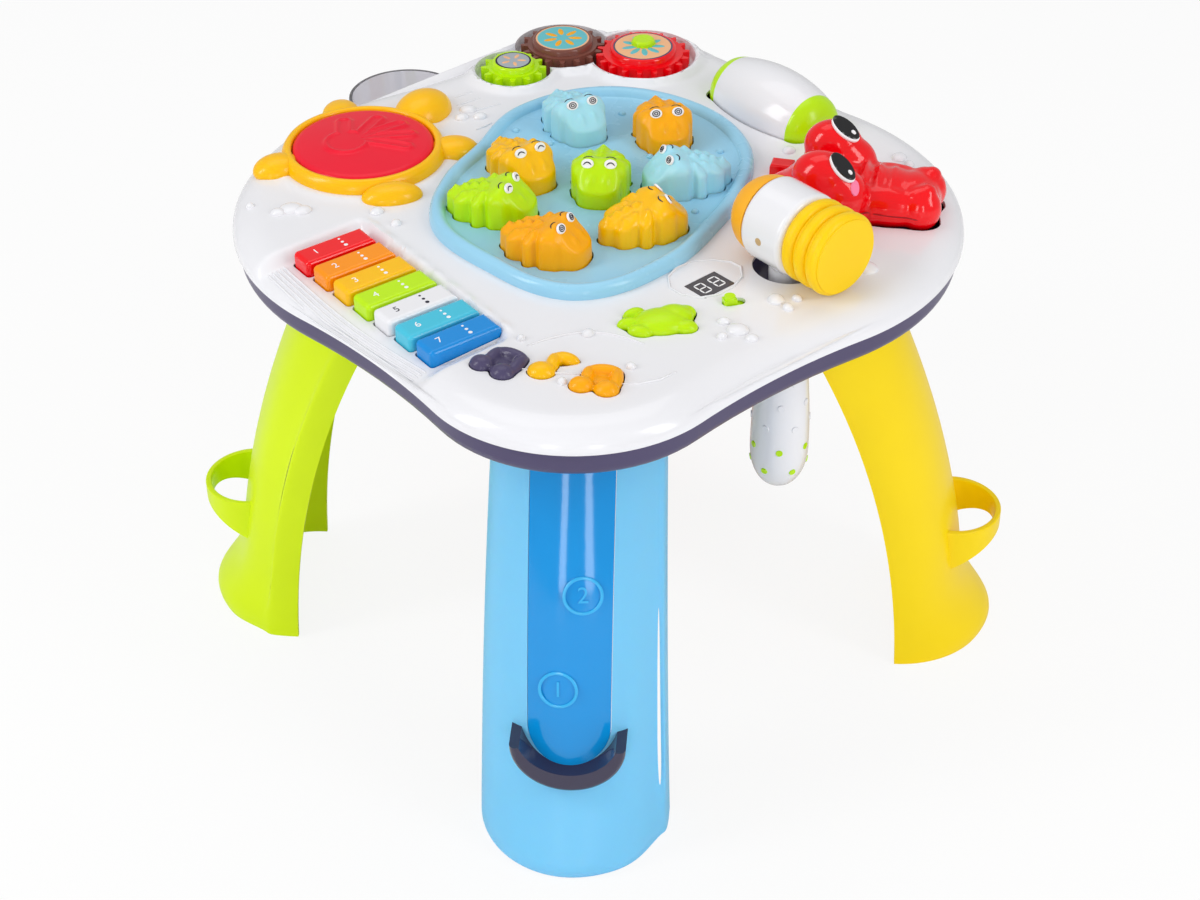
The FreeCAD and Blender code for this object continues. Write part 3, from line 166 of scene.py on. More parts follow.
DARK = plastic("DarkInside", "#2B2320", 0.6, 0)
INK = plastic("Ink", "#2A2838", 0.5, 0)
PUPIL = plastic("Pupil", "#101014", 0.12, 0.8)
PRINT = plastic("WhitePrint", "#F5F5F8", 0.4, 0)
SMOKE = plastic("SmokedWindow", "#4B474C", 0.12, 0.6)
STEEL = plastic("Steel", "#A9ABB0", 0.3, 0)
STEEL.node_tree.nodes["Principled BSDF"].inputs["Metallic"].default_value = 1
BOARD = plastic("Board", "#1E6B3A", 0.4, 0.2)
CLEAR = plastic("ClearPlastic", "#E4E2EA", 0.08, 0.5, 0.02, 0.02, 0.92)
PEACH = plastic("PeachPrint", "#F3B98A", 0.4, 0.1)
PINK = plastic("PinkPrint", "#FF7FA8", 0.4, 0.1)
TEAL = plastic("TealPrint", "#63BEC6", 0.4, 0.1)
GREY = plastic("GreyPrint", "#A6AEB5", 0.4, 0.1)
TAN = plastic("TanPrint", "#C8A878", 0.4, 0.1)

NODE_LOOKS = (
    (LEG_BLUE, "front_leg"), (CHUTE_BLUE, "chute_window"), (LEG_LIME, "left_leg left_hoop"),
    (LEG_YELLOW, "right_leg right_hoop"), (BACK_ORANGE, "back_leg"), (LIP, "catcher_lip"),
    (NAVY, "bottom_tray battery_door key_rail"), (BROWN, "gear_brown"), (SKY, "island_plate"),
    (LIME, "gear_green gear_knob roller_cap_left roller_cap_right switch_knob piano_key_4"),
    (WHITE, "gear_pins roller_barrel roller_cradle hammer_core hammer_handle top_shell piano_key_5"),
    (STEEL, "roller_axle case_screws battery_cells"), (RED, "gear_red croc_tab piano_key_1"),
    (AMBER, "turtle_ring piano_key_3"), (SOFT_ORANGE, "hammer_soft_end"), (YELLOW, "hammer_bellows"),
    (SMOKE, "display_window"), (CLEAR, "side_cup"), (DARK, "speaker"), (BOARD, "circuit_board"),
    (GREY, "contact_domes side_contacts"), (KEY_ORANGE, "piano_key_2"), (CYAN, "piano_key_6"),
    (ROYAL, "piano_key_7"),
)


def dress(obj, material):
    obj.data.materials.clear()
    obj.data.materials.append(material)


for look, names in NODE_LOOKS:
    for name in names.split():
        dress(nodes[name], look)


# Mesh helpers: places are in millimetres and become metres here

def mesh_piece(name, points, faces, material, body, smooth_angle=40):
    mesh = bpy.data.meshes.new(name)
    mesh.from_pydata([Vector(point) * MM for point in points], [], faces)
    mesh.update()
    return finish_piece(name, mesh, material, body, smooth_angle)


def smooth(mesh, angle):
    mesh.shade_smooth()
    mesh.set_sharp_from_angle(angle=math.radians(angle))


def finish_piece(name, mesh, material, body, smooth_angle=40):
    """Makes an object of a mesh in the row frame and lets it ride on a body."""
    shell = bmesh.new()
    shell.from_mesh(mesh)
    bmesh.ops.recalc_face_normals(shell, faces=shell.faces)
    shell.to_mesh(mesh)
    shell.free()
    smooth(mesh, smooth_angle)
    obj = bpy.data.objects.new(name, mesh)
    scene.collection.objects.link(obj)
    dress(obj, material)
    if body:
        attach(obj, body)
    return obj


def apply_modifiers(obj):
    graph = bpy.context.evaluated_depsgraph_get()
    mesh = bpy.data.meshes.new_from_object(obj.evaluated_get(graph))
    old = obj.data
    obj.modifiers.clear()
    obj.data = mesh
    bpy.data.meshes.remove(old)


def surface_of(obj):
    vertices = [obj.matrix_world @ vertex.co for vertex in obj.data.vertices]
    return BVHTree.FromPolygons(vertices, [list(face.vertices) for face in obj.data.polygons])


def frame_on(point, normal, toward):
    """A turn whose Z is the normal and whose X leans toward a direction."""
    z = Vector(normal).normalized()
    x = Vector(toward) - z * Vector(toward).dot(z)
    x.normalize()
    return Matrix.Translation(point) @ Matrix((x, z.cross(x), z)).transposed().to_4x4()


def ellipsoid_mesh(centre, radii, turn=0, detail=3):
    shell = bmesh.new()
    bmesh.ops.create_icosphere(shell, subdivisions=detail, radius=1)
    move = Matrix.Translation(centre) @ Matrix.Rotation(turn, 4, "Z") @ Matrix.Diagonal((*radii, 1))
    bmesh.ops.transform(shell, matrix=move, verts=shell.verts)
    return shell


def blob(name, parts, place, material, body, voxel=1.4, rounds=6, floor=None):
    """Ellipsoids (x, y, z, rx, ry, rz[, turn]) in mm, melted into one skin, set down at a place."""
    mesh = bpy.data.meshes.new(name)
    whole = bmesh.new()
    for part in parts:
        turn = math.radians(part[6]) if len(part) > 6 else 0
        piece = ellipsoid_mesh(part[:3], part[3:6], turn, 4)
        scratch = bpy.data.meshes.new("Scratch")
        piece.to_mesh(scratch)
        piece.free()
        whole.from_mesh(scratch)
        bpy.data.meshes.remove(scratch)
    if floor is not None:
        geometry = whole.verts[:] + whole.edges[:] + whole.faces[:]
        bmesh.ops.bisect_plane(whole, geom=geometry, plane_co=(0, 0, floor), plane_no=(0, 0, -1),
                               clear_outer=True)
        bmesh.ops.holes_fill(whole, edges=[edge for edge in whole.edges if edge.is_boundary])
    bmesh.ops.transform(whole, matrix=place @ Matrix.Diagonal((MM, MM, MM, 1)), verts=whole.verts)
    whole.to_mesh(mesh)
    whole.free()
    obj = bpy.data.objects.new(name, mesh)
    scene.collection.objects.link(obj)
    remesh = obj.modifiers.new("Melt", "REMESH")
    remesh.mode = "VOXEL"
    remesh.voxel_size = voxel * MM
    relax = obj.modifiers.new("Relax", "SMOOTH")
    relax.factor = 0.5
    relax.iterations = rounds
    apply_modifiers(obj)
    obj.data.shade_smooth()
    dress(obj, material)
    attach(obj, body)
    return obj


def polar(centre, angle, reach):
    return centre[0] + math.cos(angle) * reach, centre[1] + math.sin(angle) * reach


def turned(x, y, centre, turn):
    return (centre[0] + x * math.cos(turn) - y * math.sin(turn),
            centre[1] + x * math.sin(turn) + y * math.cos(turn))


def circle_loop(centre, radius, count=72):
    return [polar(centre, 2 * math.pi * step / count, radius) for step in range(count)]


def lathe(centre, profile, sides):
    """Rings of points round a centre, one for each radius and level in mm."""
    return [(x, y, level) for radius, level in profile for x, y in circle_loop(centre, radius, sides)]


def ring_faces(rows, sides, closed=False):
    """Faces between rows of points, and back to the first row where the rows close on themselves."""
    faces = []
    for row in range(rows if closed else rows - 1):
        lower, upper = row * sides, (row + 1) % rows * sides
        for step in range(sides):
            after = (step + 1) % sides
            faces.append((lower + step, lower + after, upper + after, upper + step))
    return faces


def last_ring(rows, sides):
    return tuple(range((rows - 1) * sides, rows * sides))


def tip_faces(rows, sides, tip):
    """Triangles from the last row to one point."""
    ring = last_ring(rows, sides)
    return [(ring[step], ring[(step + 1) % sides], tip) for step in range(sides)]


def at(x, y, z, heading=0):
    """A place in the row frame from millimetres and a heading in degrees."""
    return Matrix.Translation(Vector((x, y, z)) * MM) @ Matrix.Rotation(math.radians(heading), 4, "Z")


def disc(name, place, width, height, lift, material, body, hole=0, sides=40):
    """A thin oval plate, with a hole if asked, lying on a place's XY plane."""
    rings = [(1, 0), (1, lift * 0.7), (0.93, lift)]
    if hole:
        rings += [(hole + 0.05, lift), (hole, lift * 0.7), (hole, 0)]
    circle = circle_loop((0, 0), 1, sides)
    points = [(x * width / 2 * scale, y * height / 2 * scale, level)
              for scale, level in rings for x, y in circle]
    faces = ring_faces(len(rings), sides, bool(hole))
    if not hole:
        faces += [last_ring(len(rings), sides), last_ring(1, sides)]
    placed = [place @ (Vector(point) * MM) / MM for point in points]
    return mesh_piece(name, placed, faces, material, body)


def tube(name, points, radius, material, body, closed=False, sides=8):
    """A round bead along points in mm, with rounded ends."""
    path = [Vector(point) for point in points]
    count = len(path)
    vertices = []
    for index, point in enumerate(path):
        before = path[(index - 1) % count] if closed or index else point
        after = path[(index + 1) % count] if closed or index < count - 1 else point
        along = (after - before).normalized()
        side = along.cross(Vector((0, 0, 1)))
        if side.length < 1e-4:
            side = along.cross(Vector((1, 0, 0)))
        side.normalize()
        rise = side.cross(along)
        size = radius
        if not closed and index in (0, count - 1):
            size = radius * 0.45
        for step in range(sides):
            angle = 2 * math.pi * step / sides
            vertices.append(point + (side * math.cos(angle) + rise * math.sin(angle)) * size)
    faces = ring_faces(count, sides, closed)
    if not closed:
        faces += [last_ring(1, sides), last_ring(count, sides)]
    return mesh_piece(name, vertices, faces, material, body, 60)


def words(name, text, place, size, lift, material, body):
    """Plain numerals as a thin plate on a place's XY plane."""
    curve = bpy.data.curves.new(name, "FONT")
    curve.body = text
    curve.size = size * MM
    curve.extrude = lift * MM / 2
    curve.align_x = "CENTER"
    curve.align_y = "CENTER"
    holder = bpy.data.objects.new(name, curve)
    scene.collection.objects.link(holder)
    bpy.context.view_layer.update()
    graph = bpy.context.evaluated_depsgraph_get()
    mesh = bpy.data.meshes.new_from_object(holder.evaluated_get(graph))
    bpy.data.objects.remove(holder)
    mesh.transform(place)
    return finish_piece(name, mesh, material, body, 30)


# Outline of the table, the same tangent arcs as the solid's

SIDE_CENTRE, SIDE_ROUND = 70, 164.5
FRONT_CENTRE, FRONT_ROUND = 160, 98
BACK_CENTRE, BACK_ROUND = 150, 96
WAIST_ROUND = 500
RIM_HEIGHT, TABLE_TOP = 318, 333


def arc_points(centre, radius, start, end, spacing):
    count = max(2, int(abs(end - start) * radius / spacing))
    steps = [start + (end - start) * step / count for step in range(count)]
    return [polar(centre, angle, radius) for angle in steps]


def quarter(end_centre, end_round, inset, spacing):
    """Outline from +X round to +Y for one end lobe."""
    side_round = SIDE_ROUND - inset
    end_round = end_round - inset
    flank = WAIST_ROUND + inset
    reach_side = side_round + flank
    reach_end = end_round + flank
    span = math.hypot(SIDE_CENTRE, end_centre)
    along = (reach_side ** 2 - reach_end ** 2 + span ** 2) / (2 * span)
    off = math.sqrt(reach_side ** 2 - along ** 2)
    ux, uy = -SIDE_CENTRE / span, end_centre / span
    centre = (SIDE_CENTRE + ux * along + uy * off, uy * along - ux * off)
    side_angle = math.atan2(centre[1], centre[0] - SIDE_CENTRE)
    end_angle = math.atan2(centre[1] - end_centre, centre[0])
    points = arc_points((SIDE_CENTRE, 0), side_round, 0, side_angle, spacing)
    points += arc_points(centre, flank, side_angle + math.pi, end_angle + math.pi, spacing)
    points += arc_points((0, end_centre), end_round, end_angle, math.pi / 2, spacing)
    return points


def outline(inset, spacing=3.5):
    back = quarter(BACK_CENTRE, BACK_ROUND, inset, spacing)
    front = quarter(FRONT_CENTRE, FRONT_ROUND, inset, spacing)
    back_tip = (0, BACK_CENTRE + BACK_ROUND - inset)
    front_tip = (0, -(FRONT_CENTRE + FRONT_ROUND - inset))
    left_tip = (-(SIDE_CENTRE + SIDE_ROUND - inset), 0)
    points = back + [back_tip]
    points += [(-x, y) for x, y in reversed(back[1:])]
    points += [left_tip]
    points += [(-x, -y) for x, y in front[1:]]
    points += [front_tip]
    points += [(x, -y) for x, y in reversed(front[1:])]
    return points


# Toys on the top: places in millimetres and headings in degrees, as in the solid

ISLAND_MIDDLE = (-4, 8)
ISLAND_REACH = (99, 116, 128, 131, 115, 92, 97, 111, 116, 131, 110, 95)
ISLAND_TOP = 336
DINOS = (
    (-22, 85, -58, AQUA), (38, 77, -75, ORANGE), (-51, 19, -52, AMBER), (2, 7, -90, DINO_LIME),
    (56, 13, -160, AQUA), (-63, -30, -12, DINO_LIME), (-25, -75, -18, ORANGE), (33, -46, 28, AMBER),
)
KEY_MIDDLE = (-113, -120)
KEY_HEADING = 41
KEY_TURN = math.radians(KEY_HEADING)
ROW_TURN = math.radians(-46)
KEY_LENGTH, KEY_WIDTH, KEY_PITCH, KEY_TOP = 49, 18.4, 21.3, 336
DRUM_MIDDLE = (-158, 45)
DRUM_ROUND = 46.5
ROLLER_MIDDLE = (111, 125)
ROLLER_TURN = -47
CROC = (157, 4, -10)
HAMMER = (123, -74)
DISPLAY = (76, -100, 46)
SWITCH = (91, -118, 20)
BROWN_PLACE = (-40.3, 204.8)
TOOTH_MODULE = 3.45


def gear_place(heading, teeth):
    """Middle of a gear that meshes with the brown one, in a direction from it."""
    return polar(BROWN_PLACE, math.radians(heading), (16 + teeth) * TOOTH_MODULE / 2)


GREEN_PLACE = gear_place(229.6, 12)
RED_PLACE = gear_place(-9, 18)
WELLS = ((BROWN_PLACE, 16), (GREEN_PLACE, 12), (RED_PLACE, 18))


def well_round(teeth):
    return teeth * TOOTH_MODULE / 2 + 2.2 + 4


def island_radius(angle):
    """Smooth closed curve through the reaches, one every thirty degrees."""
    total = len(ISLAND_REACH)
    spot = (angle % (2 * math.pi)) / (2 * math.pi) * total
    index = int(spot)
    t = spot - index
    a, b, c, d = (ISLAND_REACH[(index + shift) % total] for shift in (-1, 0, 1, 2))
    return b + 0.5 * t * (c - a + t * (2 * a - 5 * b + 4 * c - d + t * (3 * (b - c) + d - a)))


def island_loop(inset, count=180):
    points = []
    for step in range(count):
        angle = 2 * math.pi * step / count
        points.append(polar(ISLAND_MIDDLE, angle, island_radius(angle) - inset))
    return points


def smoothstep(value):
    value = min(max(value, 0), 1)
    return value * value * (3 - 2 * value)


def piano_place(x, y):
    """How far inward of the key row's middle line, and how far along the row."""
    dx, dy = x - KEY_MIDDLE[0], y - KEY_MIDDLE[1]
    return (dx * math.cos(KEY_TURN) + dy * math.sin(KEY_TURN),
            dx * math.cos(ROW_TURN) + dy * math.sin(ROW_TURN))


EDGE = np.array(outline(0, 1))


def edge_gap(x, y):
    return float(np.min(np.hypot(EDGE[:, 0] - x, EDGE[:, 1] - y)))


EDGE_REACH = 22
SCOOP_DEPTH = 7


def shell_height(x, y, inset):
    """Height of the white top at a point that lies inset mm inside the outline."""
    rise = 13
    drop = min(inset, EDGE_REACH)
    level = TABLE_TOP - rise + rise * math.sqrt(max(0, 1 - ((EDGE_REACH - drop) / EDGE_REACH) ** 2))
    inward, along = piano_place(x, y)
    scoop = smoothstep((31 - inward) / 8) * smoothstep((86 - abs(along)) / 12)
    level = RIM_HEIGHT + (level - RIM_HEIGHT) * (1 - scoop * SCOOP_DEPTH / (TABLE_TOP - RIM_HEIGHT))
    ridge = math.exp(-((inward - 31) / 3) ** 2) * smoothstep((84 - abs(along)) / 8)
    level += 1.7 * ridge * (0.75 + 0.25 * math.cos(along * 0.35))
    gap = min(math.hypot(x - place[0], y - place[1]) - well_round(teeth) for place, teeth in WELLS)
    level += 4.2 * math.exp(-((gap - 2.5) / 3.4) ** 2) if gap > -6 else 0
    spot = math.hypot(x - DRUM_MIDDLE[0], y - DRUM_MIDDLE[1]) - 52.5
    level += 1.2 * math.exp(-((spot - 5) / 4) ** 2)
    return level


def on_top(px, py, lift=0):
    """The white top's own point near a pixel of the photograph, in mm."""
    spot = seen_at(px, py, TABLE_TOP) / MM
    return spot.x, spot.y, shell_height(spot.x, spot.y, edge_gap(spot.x, spot.y)) + lift


def prism(points, low, high):
    """A closed column over a loop, for cutting."""
    shell = bmesh.new()
    lower = [shell.verts.new(Vector((x, y, low)) * MM) for x, y in points]
    upper = [shell.verts.new(Vector((x, y, high)) * MM) for x, y in points]
    count = len(points)
    for index in range(count):
        after = (index + 1) % count
        shell.faces.new((lower[index], lower[after], upper[after], upper[index]))
    shell.faces.new(lower[::-1])
    shell.faces.new(upper)
    bmesh.ops.recalc_face_normals(shell, faces=shell.faces)
    return shell


def rounded_loop(width, depth, corner, centre, turn, sides=6):
    points = []
    for quadrant, (sx, sy) in enumerate(((1, 1), (-1, 1), (-1, -1), (1, -1))):
        for step in range(sides + 1):
            angle = math.pi / 2 * (quadrant + step / sides)
            x = sx * (width / 2 - corner) + corner * math.cos(angle)
            y = sy * (depth / 2 - corner) + corner * math.sin(angle)
            points.append(turned(x, y, centre, turn))
    return points


def key_spots():
    """Middle of each piano key, from the back of the row to its front."""
    return [polar(KEY_MIDDLE, ROW_TURN, KEY_PITCH * (number - 3)) for number in range(7)]


def roller_loop(gap):
    """Where the roller's opening meets the top, round the barrel and its caps."""
    half = 48.5 + gap
    points = []
    for side in (1, -1):
        for step in range(40):
            along = side * half * math.cos(math.pi * step / 40)
            past = max(0, abs(along) - 36) / (half - 36)
            belly = min(abs(along), 36) / 36
            wide = side * (28.5 - 5.5 * belly * belly + gap) * max(0, 1 - past ** 3) ** (1 / 3)
            points.append((along, wide))
    turn = math.radians(ROLLER_TURN)
    return [turned(x, y, ROLLER_MIDDLE, turn) for x, y in points]


def cut_with(obj, cutters):
    """Takes columns out of a piece."""
    for index, shell in enumerate(cutters):
        mesh = bpy.data.meshes.new("Cutter%d" % index)
        shell.to_mesh(mesh)
        shell.free()
        cutter = bpy.data.objects.new("Cutter%d" % index, mesh)
        scene.collection.objects.link(cutter)
        tool = obj.modifiers.new("Cut", "BOOLEAN")
        tool.operation = "DIFFERENCE"
        tool.solver = "EXACT"
        tool.object = cutter
        bpy.context.view_layer.update()
        apply_modifiers(obj)
        bpy.data.objects.remove(cutter)


PAW = (48, -143, 10)
NOTES = (("note_navy", "note_button_navy", -40, -190, -25, NAVY),
         ("note_amber", "note_button_amber", -11, -193, -5, AMBER),
         ("note_orange", "note_button_orange", 17, -204, -5, ORANGE))
PAW_PARTS = ((1, -1, 0, 17, 13, 7.5), (9, 4, 0, 12, 10, 7.5), (-14, 9, 0, 7.5, 4.2, 5, 20),
             (-18, -1, 0, 7.5, 4.2, 5), (-13, -10, 0, 7.5, 4.2, 5, -25), (15, -8, 0, 7, 5.5, 5),
             (16, 8, 0, 7, 5.5, 5))
DOUBLE_NOTE = ((-9, -8, 0, 7.4, 6.6, 5.6), (6, -10, 0, 7.4, 6.6, 5.6), (-7, 1, 0, 4, 10, 4.6),
               (10, 0, 0, 4, 11, 4.6), (2, 8, 0, 11, 4.2, 4.8), (1, 0, -3, 8, 8, 4))
SINGLE_NOTE = ((-5, -6, 0, 8.4, 7.4, 5.6), (0, 3, 0, 4.2, 9, 4.8), (7, 8, 0, 8.6, 4.4, 4.8, -15))


def base_loop(obj, level, gap, count=90, above=2):
    """Loop round a piece near a level, seen from its own middle, wide enough for it to sink."""
    points = [obj.matrix_world @ vertex.co / MM for vertex in obj.data.vertices]
    ring = [(point.x, point.y) for point in points if level - 2 < point.z < level + above]
    middle = (sum(p[0] for p in ring) / len(ring), sum(p[1] for p in ring) / len(ring))
    reach = [0] * count
    for x, y in ring:
        angle = math.atan2(y - middle[1], x - middle[0]) % (2 * math.pi)
        index = int(angle / (2 * math.pi) * count) % count
        reach[index] = max(reach[index], math.hypot(x - middle[0], y - middle[1]))
    for index in range(count):
        if reach[index] == 0:
            reach[index] = max(reach[index - 1], reach[(index + 1) % count])
    loop = []
    for index in range(count):
        size = sum(reach[(index + shift) % count] for shift in (-1, 0, 1)) / 3 + gap
        loop.append(polar(middle, 2 * math.pi * (index + 0.5) / count, size))
    return loop


# Crocodile: two tall eye domes, a round head and a ridged snout

CROC_PARTS = (
    (-8, 0, 4, 36, 35, 22), (-33, 0, 0, 19, 21, 16),
    (-6, 20, 17, 24, 17, 20, 6), (-6, -20, 17, 25, 18, 20, -6),
    (-11, 20, 29, 19, 14.5, 17, 6), (-11, -20, 28, 20, 15, 17, -6),
    (28, 0, 8, 33, 24, 17), (45, 0, 8, 17, 23, 17), (50, 12, 9, 14, 12, 15.5), (50, -12, 9, 14, 12, 15.5),
    (28, 15, 9, 27, 10, 14), (28, -15, 9, 27, 10, 14),
    (54, 11, 20.5, 6, 7, 5.5), (54, -11, 20.5, 6, 7, 5.5),
    (13, 0, 8, 3.6, 26.5, 20), (22, 0, 8, 3.4, 26, 19.3), (31, 0, 8, 3.2, 25.5, 18.6),
)


CROC_EYES = (("Near", 843, 168), ("Far", 846, 129))
CROC_CHEEK = (855, 188)


def add_crocodile():
    place = at(CROC[0], CROC[1], TABLE_TOP, CROC[2])
    head = blob("Crocodile", CROC_PARTS, place, RED, "croc", 1.5, 7, -5)
    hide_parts("croc_head")
    skin = surface_of(head)
    axis = RIGHT * 0.72 - UP * 0.7
    for label, px, py in CROC_EYES:
        point, normal, _, _ = skin.ray_cast(CAMERA_PLACE, sight(px, py))
        spot = frame_on(point - normal * 1.2 * MM, normal, axis)
        disc("EyeRim" + label, spot, 21.5, 12.4, 1.6, PRINT, "croc")
        disc("EyeDark" + label, spot @ at(-0.6, 0.9, 0.5), 21, 11.6, 1.6, PUPIL, "croc")
        disc("EyeGlint" + label, spot @ at(5, 1.4, 1.1), 3.6, 2.6, 1.4, PRINT, "croc", sides=20)
    point, normal, _, _ = skin.ray_cast(CAMERA_PLACE, sight(*CROC_CHEEK))
    disc("Cheek", frame_on(point - normal * 0.6 * MM, normal, UP), 10, 6, 1, PINK, "croc")
    # The mouth lines are a darker red than the head: painted shade of the mouth's moulded groove.
    mouth_shade = plastic("MouthShade", "#A8000F", 0.3)
    for side in (-1, 1):
        path = []
        for step in range(9):
            along = 14 + step * 5
            across = side * (60 - 0.5 * step)
            start = place @ (Vector((along, across, 9 - 0.25 * step)) * MM)
            aim = place.to_3x3() @ Vector((0, -side, 0))
            point, normal, _, _ = skin.ray_cast(start, aim)
            if point:
                path.append(point / MM - normal * 0.25)
        tube("MouthLine%d" % (side + 1), path, 0.6, mouth_shade, "croc")
    return head


crocodile = add_crocodile()


def add_small_buttons():
    made = []
    paw = blob("PawButton", PAW_PARTS, at(PAW[0], PAW[1], TABLE_TOP, PAW[2]), DINO_LIME, "paw", 0.8, 4, -3)
    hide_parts("paw_button")
    made.append(paw)
    for body, node, x, y, turn, look in NOTES:
        parts = SINGLE_NOTE if body == "note_amber" else DOUBLE_NOTE
        note = blob("Button_" + body, parts, at(x, y, TABLE_TOP, turn), look, body, 0.8, 4, -3)
        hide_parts(node)
        made.append(note)
    return made


small_buttons = add_small_buttons()


# White top: one sheet with a rolled edge, laid out round its openings and then given a wall

def offset_rings():
    """Outline points with the directions that lead inward from them."""
    base = np.array(outline(0, 2.4))
    along = np.roll(base, -1, axis=0) - np.roll(base, 1, axis=0)
    along /= np.linalg.norm(along, axis=1)[:, None]
    return base, np.stack((-along[:, 1], along[:, 0]), axis=1)


def inside_loop(loop, spots):
    """Which spots lie inside a closed loop."""
    ring = np.array(loop)
    after = np.roll(ring, -1, axis=0)
    inside = np.zeros(len(spots), bool)
    for (ax, ay), (bx, by) in zip(ring, after):
        if ay == by:
            continue
        rows = (spots[:, 1] >= ay) != (spots[:, 1] >= by)
        inside ^= rows & (spots[:, 0] < ax + (spots[:, 1] - ay) / (by - ay) * (bx - ax))
    return inside


def shell_holes():
    """Loops of every opening in the white top, in the order of its pieces."""
    holes = [island_loop(9, 150), roller_loop(1.2), circle_loop(DRUM_MIDDLE, 10), circle_loop(HAMMER, 22)]
    holes.append(base_loop(crocodile, TABLE_TOP, 0.8, 120, 6.5))
    holes += [base_loop(piece, TABLE_TOP, 0.6, 60) for piece in small_buttons]
    holes += [circle_loop(place, well_round(teeth)) for place, teeth in WELLS]
    holes += [rounded_loop(KEY_LENGTH + 1.6, KEY_WIDTH + 1.2, 2.5, spot, KEY_TURN) for spot in key_spots()]
    holes.append(rounded_loop(25.6, 18.6, 1, DISPLAY[:2], math.radians(DISPLAY[2])))
    holes.append(rounded_loop(14.5, 8, 3.9, SWITCH[:2], math.radians(SWITCH[2])))
    return holes


BAND = (0, 0.5, 1.2, 2.2)
RINGS = (4, 6.5, 9, 12, 15, 18, 21.5, 25)
GRID_EDGE = 27.5
GRID_SPACING = 2.7
GRID_START = -262
GRID_DEPTH = 520
SHELL_WALL = 2.2


def crossings(ring, y):
    """Where a level line crosses a closed loop, from left to right."""
    after = np.roll(ring, -1, axis=0)
    below = ring[:, 1] <= y
    hit = below != (after[:, 1] <= y)
    a, b = ring[hit], after[hit]
    return sorted(a[:, 0] + (y - a[:, 1]) / (b[:, 1] - a[:, 1]) * (b[:, 0] - a[:, 0]))


def top_spots(base, inward):
    """Where the sheet's corners go: rings along the edge, then rows across the middle."""
    spots = [base + inward * inset for inset in RINGS]
    inner = base + inward * GRID_EDGE
    for row in range(int(GRID_DEPTH / GRID_SPACING)):
        y = GRID_START + row * GRID_SPACING
        crossing = crossings(inner, y)
        for start, end in zip(crossing[::2], crossing[1::2]):
            count = max(1, int((end - start) / GRID_SPACING))
            x = start + (end - start) * (np.arange(count + 1) + (0.5 if row % 2 else 0)) / (count + 0.5)
            spots.append(np.stack((x, np.full(count + 1, y)), axis=1))
    return np.concatenate(spots)


def add_top():
    base, inward = offset_rings()
    total = len(base)
    fence = base + inward * BAND[-1]
    spots = top_spots(base, inward)
    holes = shell_holes()
    for hole in holes:
        rim = np.array(hole)
        apart = spots[:, None] - rim[None]
        near = np.min(np.hypot(apart[..., 0], apart[..., 1]), axis=1)
        spots = spots[(near > 1.1) & ~inside_loop(hole, spots)]
    vertices = [Vector(spot) for spot in fence] + [Vector(spot) for spot in spots]
    edges = [(index, (index + 1) % total) for index in range(total)]
    for hole in holes:
        first = len(vertices)
        vertices += [Vector(spot) for spot in hole]
        edges += [(first + index, first + (index + 1) % len(hole)) for index in range(len(hole))]
    flat, _, triangles, origins, _, _ = delaunay_2d_cdt(vertices, edges, [], 1, 1e-5, True)
    middles = np.array([[sum(flat[corner][axis] for corner in face) / 3 for axis in (0, 1)]
                        for face in triangles])
    open_part = np.zeros(len(triangles), bool)
    for hole in holes:
        open_part |= inside_loop(hole, middles)
    points = [(spot.x, spot.y, shell_height(spot.x, spot.y, edge_gap(spot.x, spot.y))) for spot in flat]
    faces = [tuple(face) for face, is_open in zip(triangles, open_part) if not is_open]
    where = {}
    for index, origin in enumerate(origins):
        for source in origin:
            where[source] = index
    outer = [where[index] for index in range(total)]
    for inset in BAND[-2::-1]:
        first = len(points)
        points += [(x, y, shell_height(x, y, inset)) for x, y in base + inward * inset]
        ring = list(range(first, first + total))
        faces += [(outer[i], outer[(i + 1) % total], ring[(i + 1) % total], ring[i]) for i in range(total)]
        outer = ring
    first = len(points)
    points += [(x, y, RIM_HEIGHT) for x, y in base]
    faces += [(outer[i], outer[(i + 1) % total], first + (i + 1) % total, first + i) for i in range(total)]
    top = mesh_piece("TopShell", points, faces, WHITE, None, 50)
    wall = top.modifiers.new("Wall", "SOLIDIFY")
    wall.thickness = SHELL_WALL * MM
    wall.offset = -1
    apply_modifiers(top)
    smooth(top.data, 48)
    dress(top, WHITE)
    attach(top, "table")
    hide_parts("top_shell")


WELL_FLOOR = 326
GEAR_PIN_ROUND = 3.2


def add_well_floors():
    """A dish under each gear, left open where it runs into the next one."""
    sides = 72
    for index, (place, teeth) in enumerate(WELLS):
        radius = well_round(teeth)
        others = [well for number, well in enumerate(WELLS) if number != index]
        rings = ((radius + 0.2, 336), (radius + 0.2, WELL_FLOOR + 1.5), (radius - 1.5, WELL_FLOOR + 0.2),
                 (radius - 5, WELL_FLOOR), (GEAR_PIN_ROUND, WELL_FLOOR))
        points = lathe(place, rings, sides)
        kept = []
        for face in ring_faces(len(rings), sides):
            x, y, level = (sum(points[corner][axis] for corner in face) / 4 for axis in range(3))
            inside = any(math.hypot(x - spot[0], y - spot[1]) < well_round(count) - 0.2
                         for spot, count in others)
            if level < WELL_FLOOR + 0.3 or not inside:
                kept.append(face)
        mesh_piece("WellFloor%d" % index, points, kept, WHITE, "table", 60)


add_top()
add_well_floors()


# Dinosaurs: a scalloped body with upright sides, a domed back, ridges, bulging eyes and nostrils

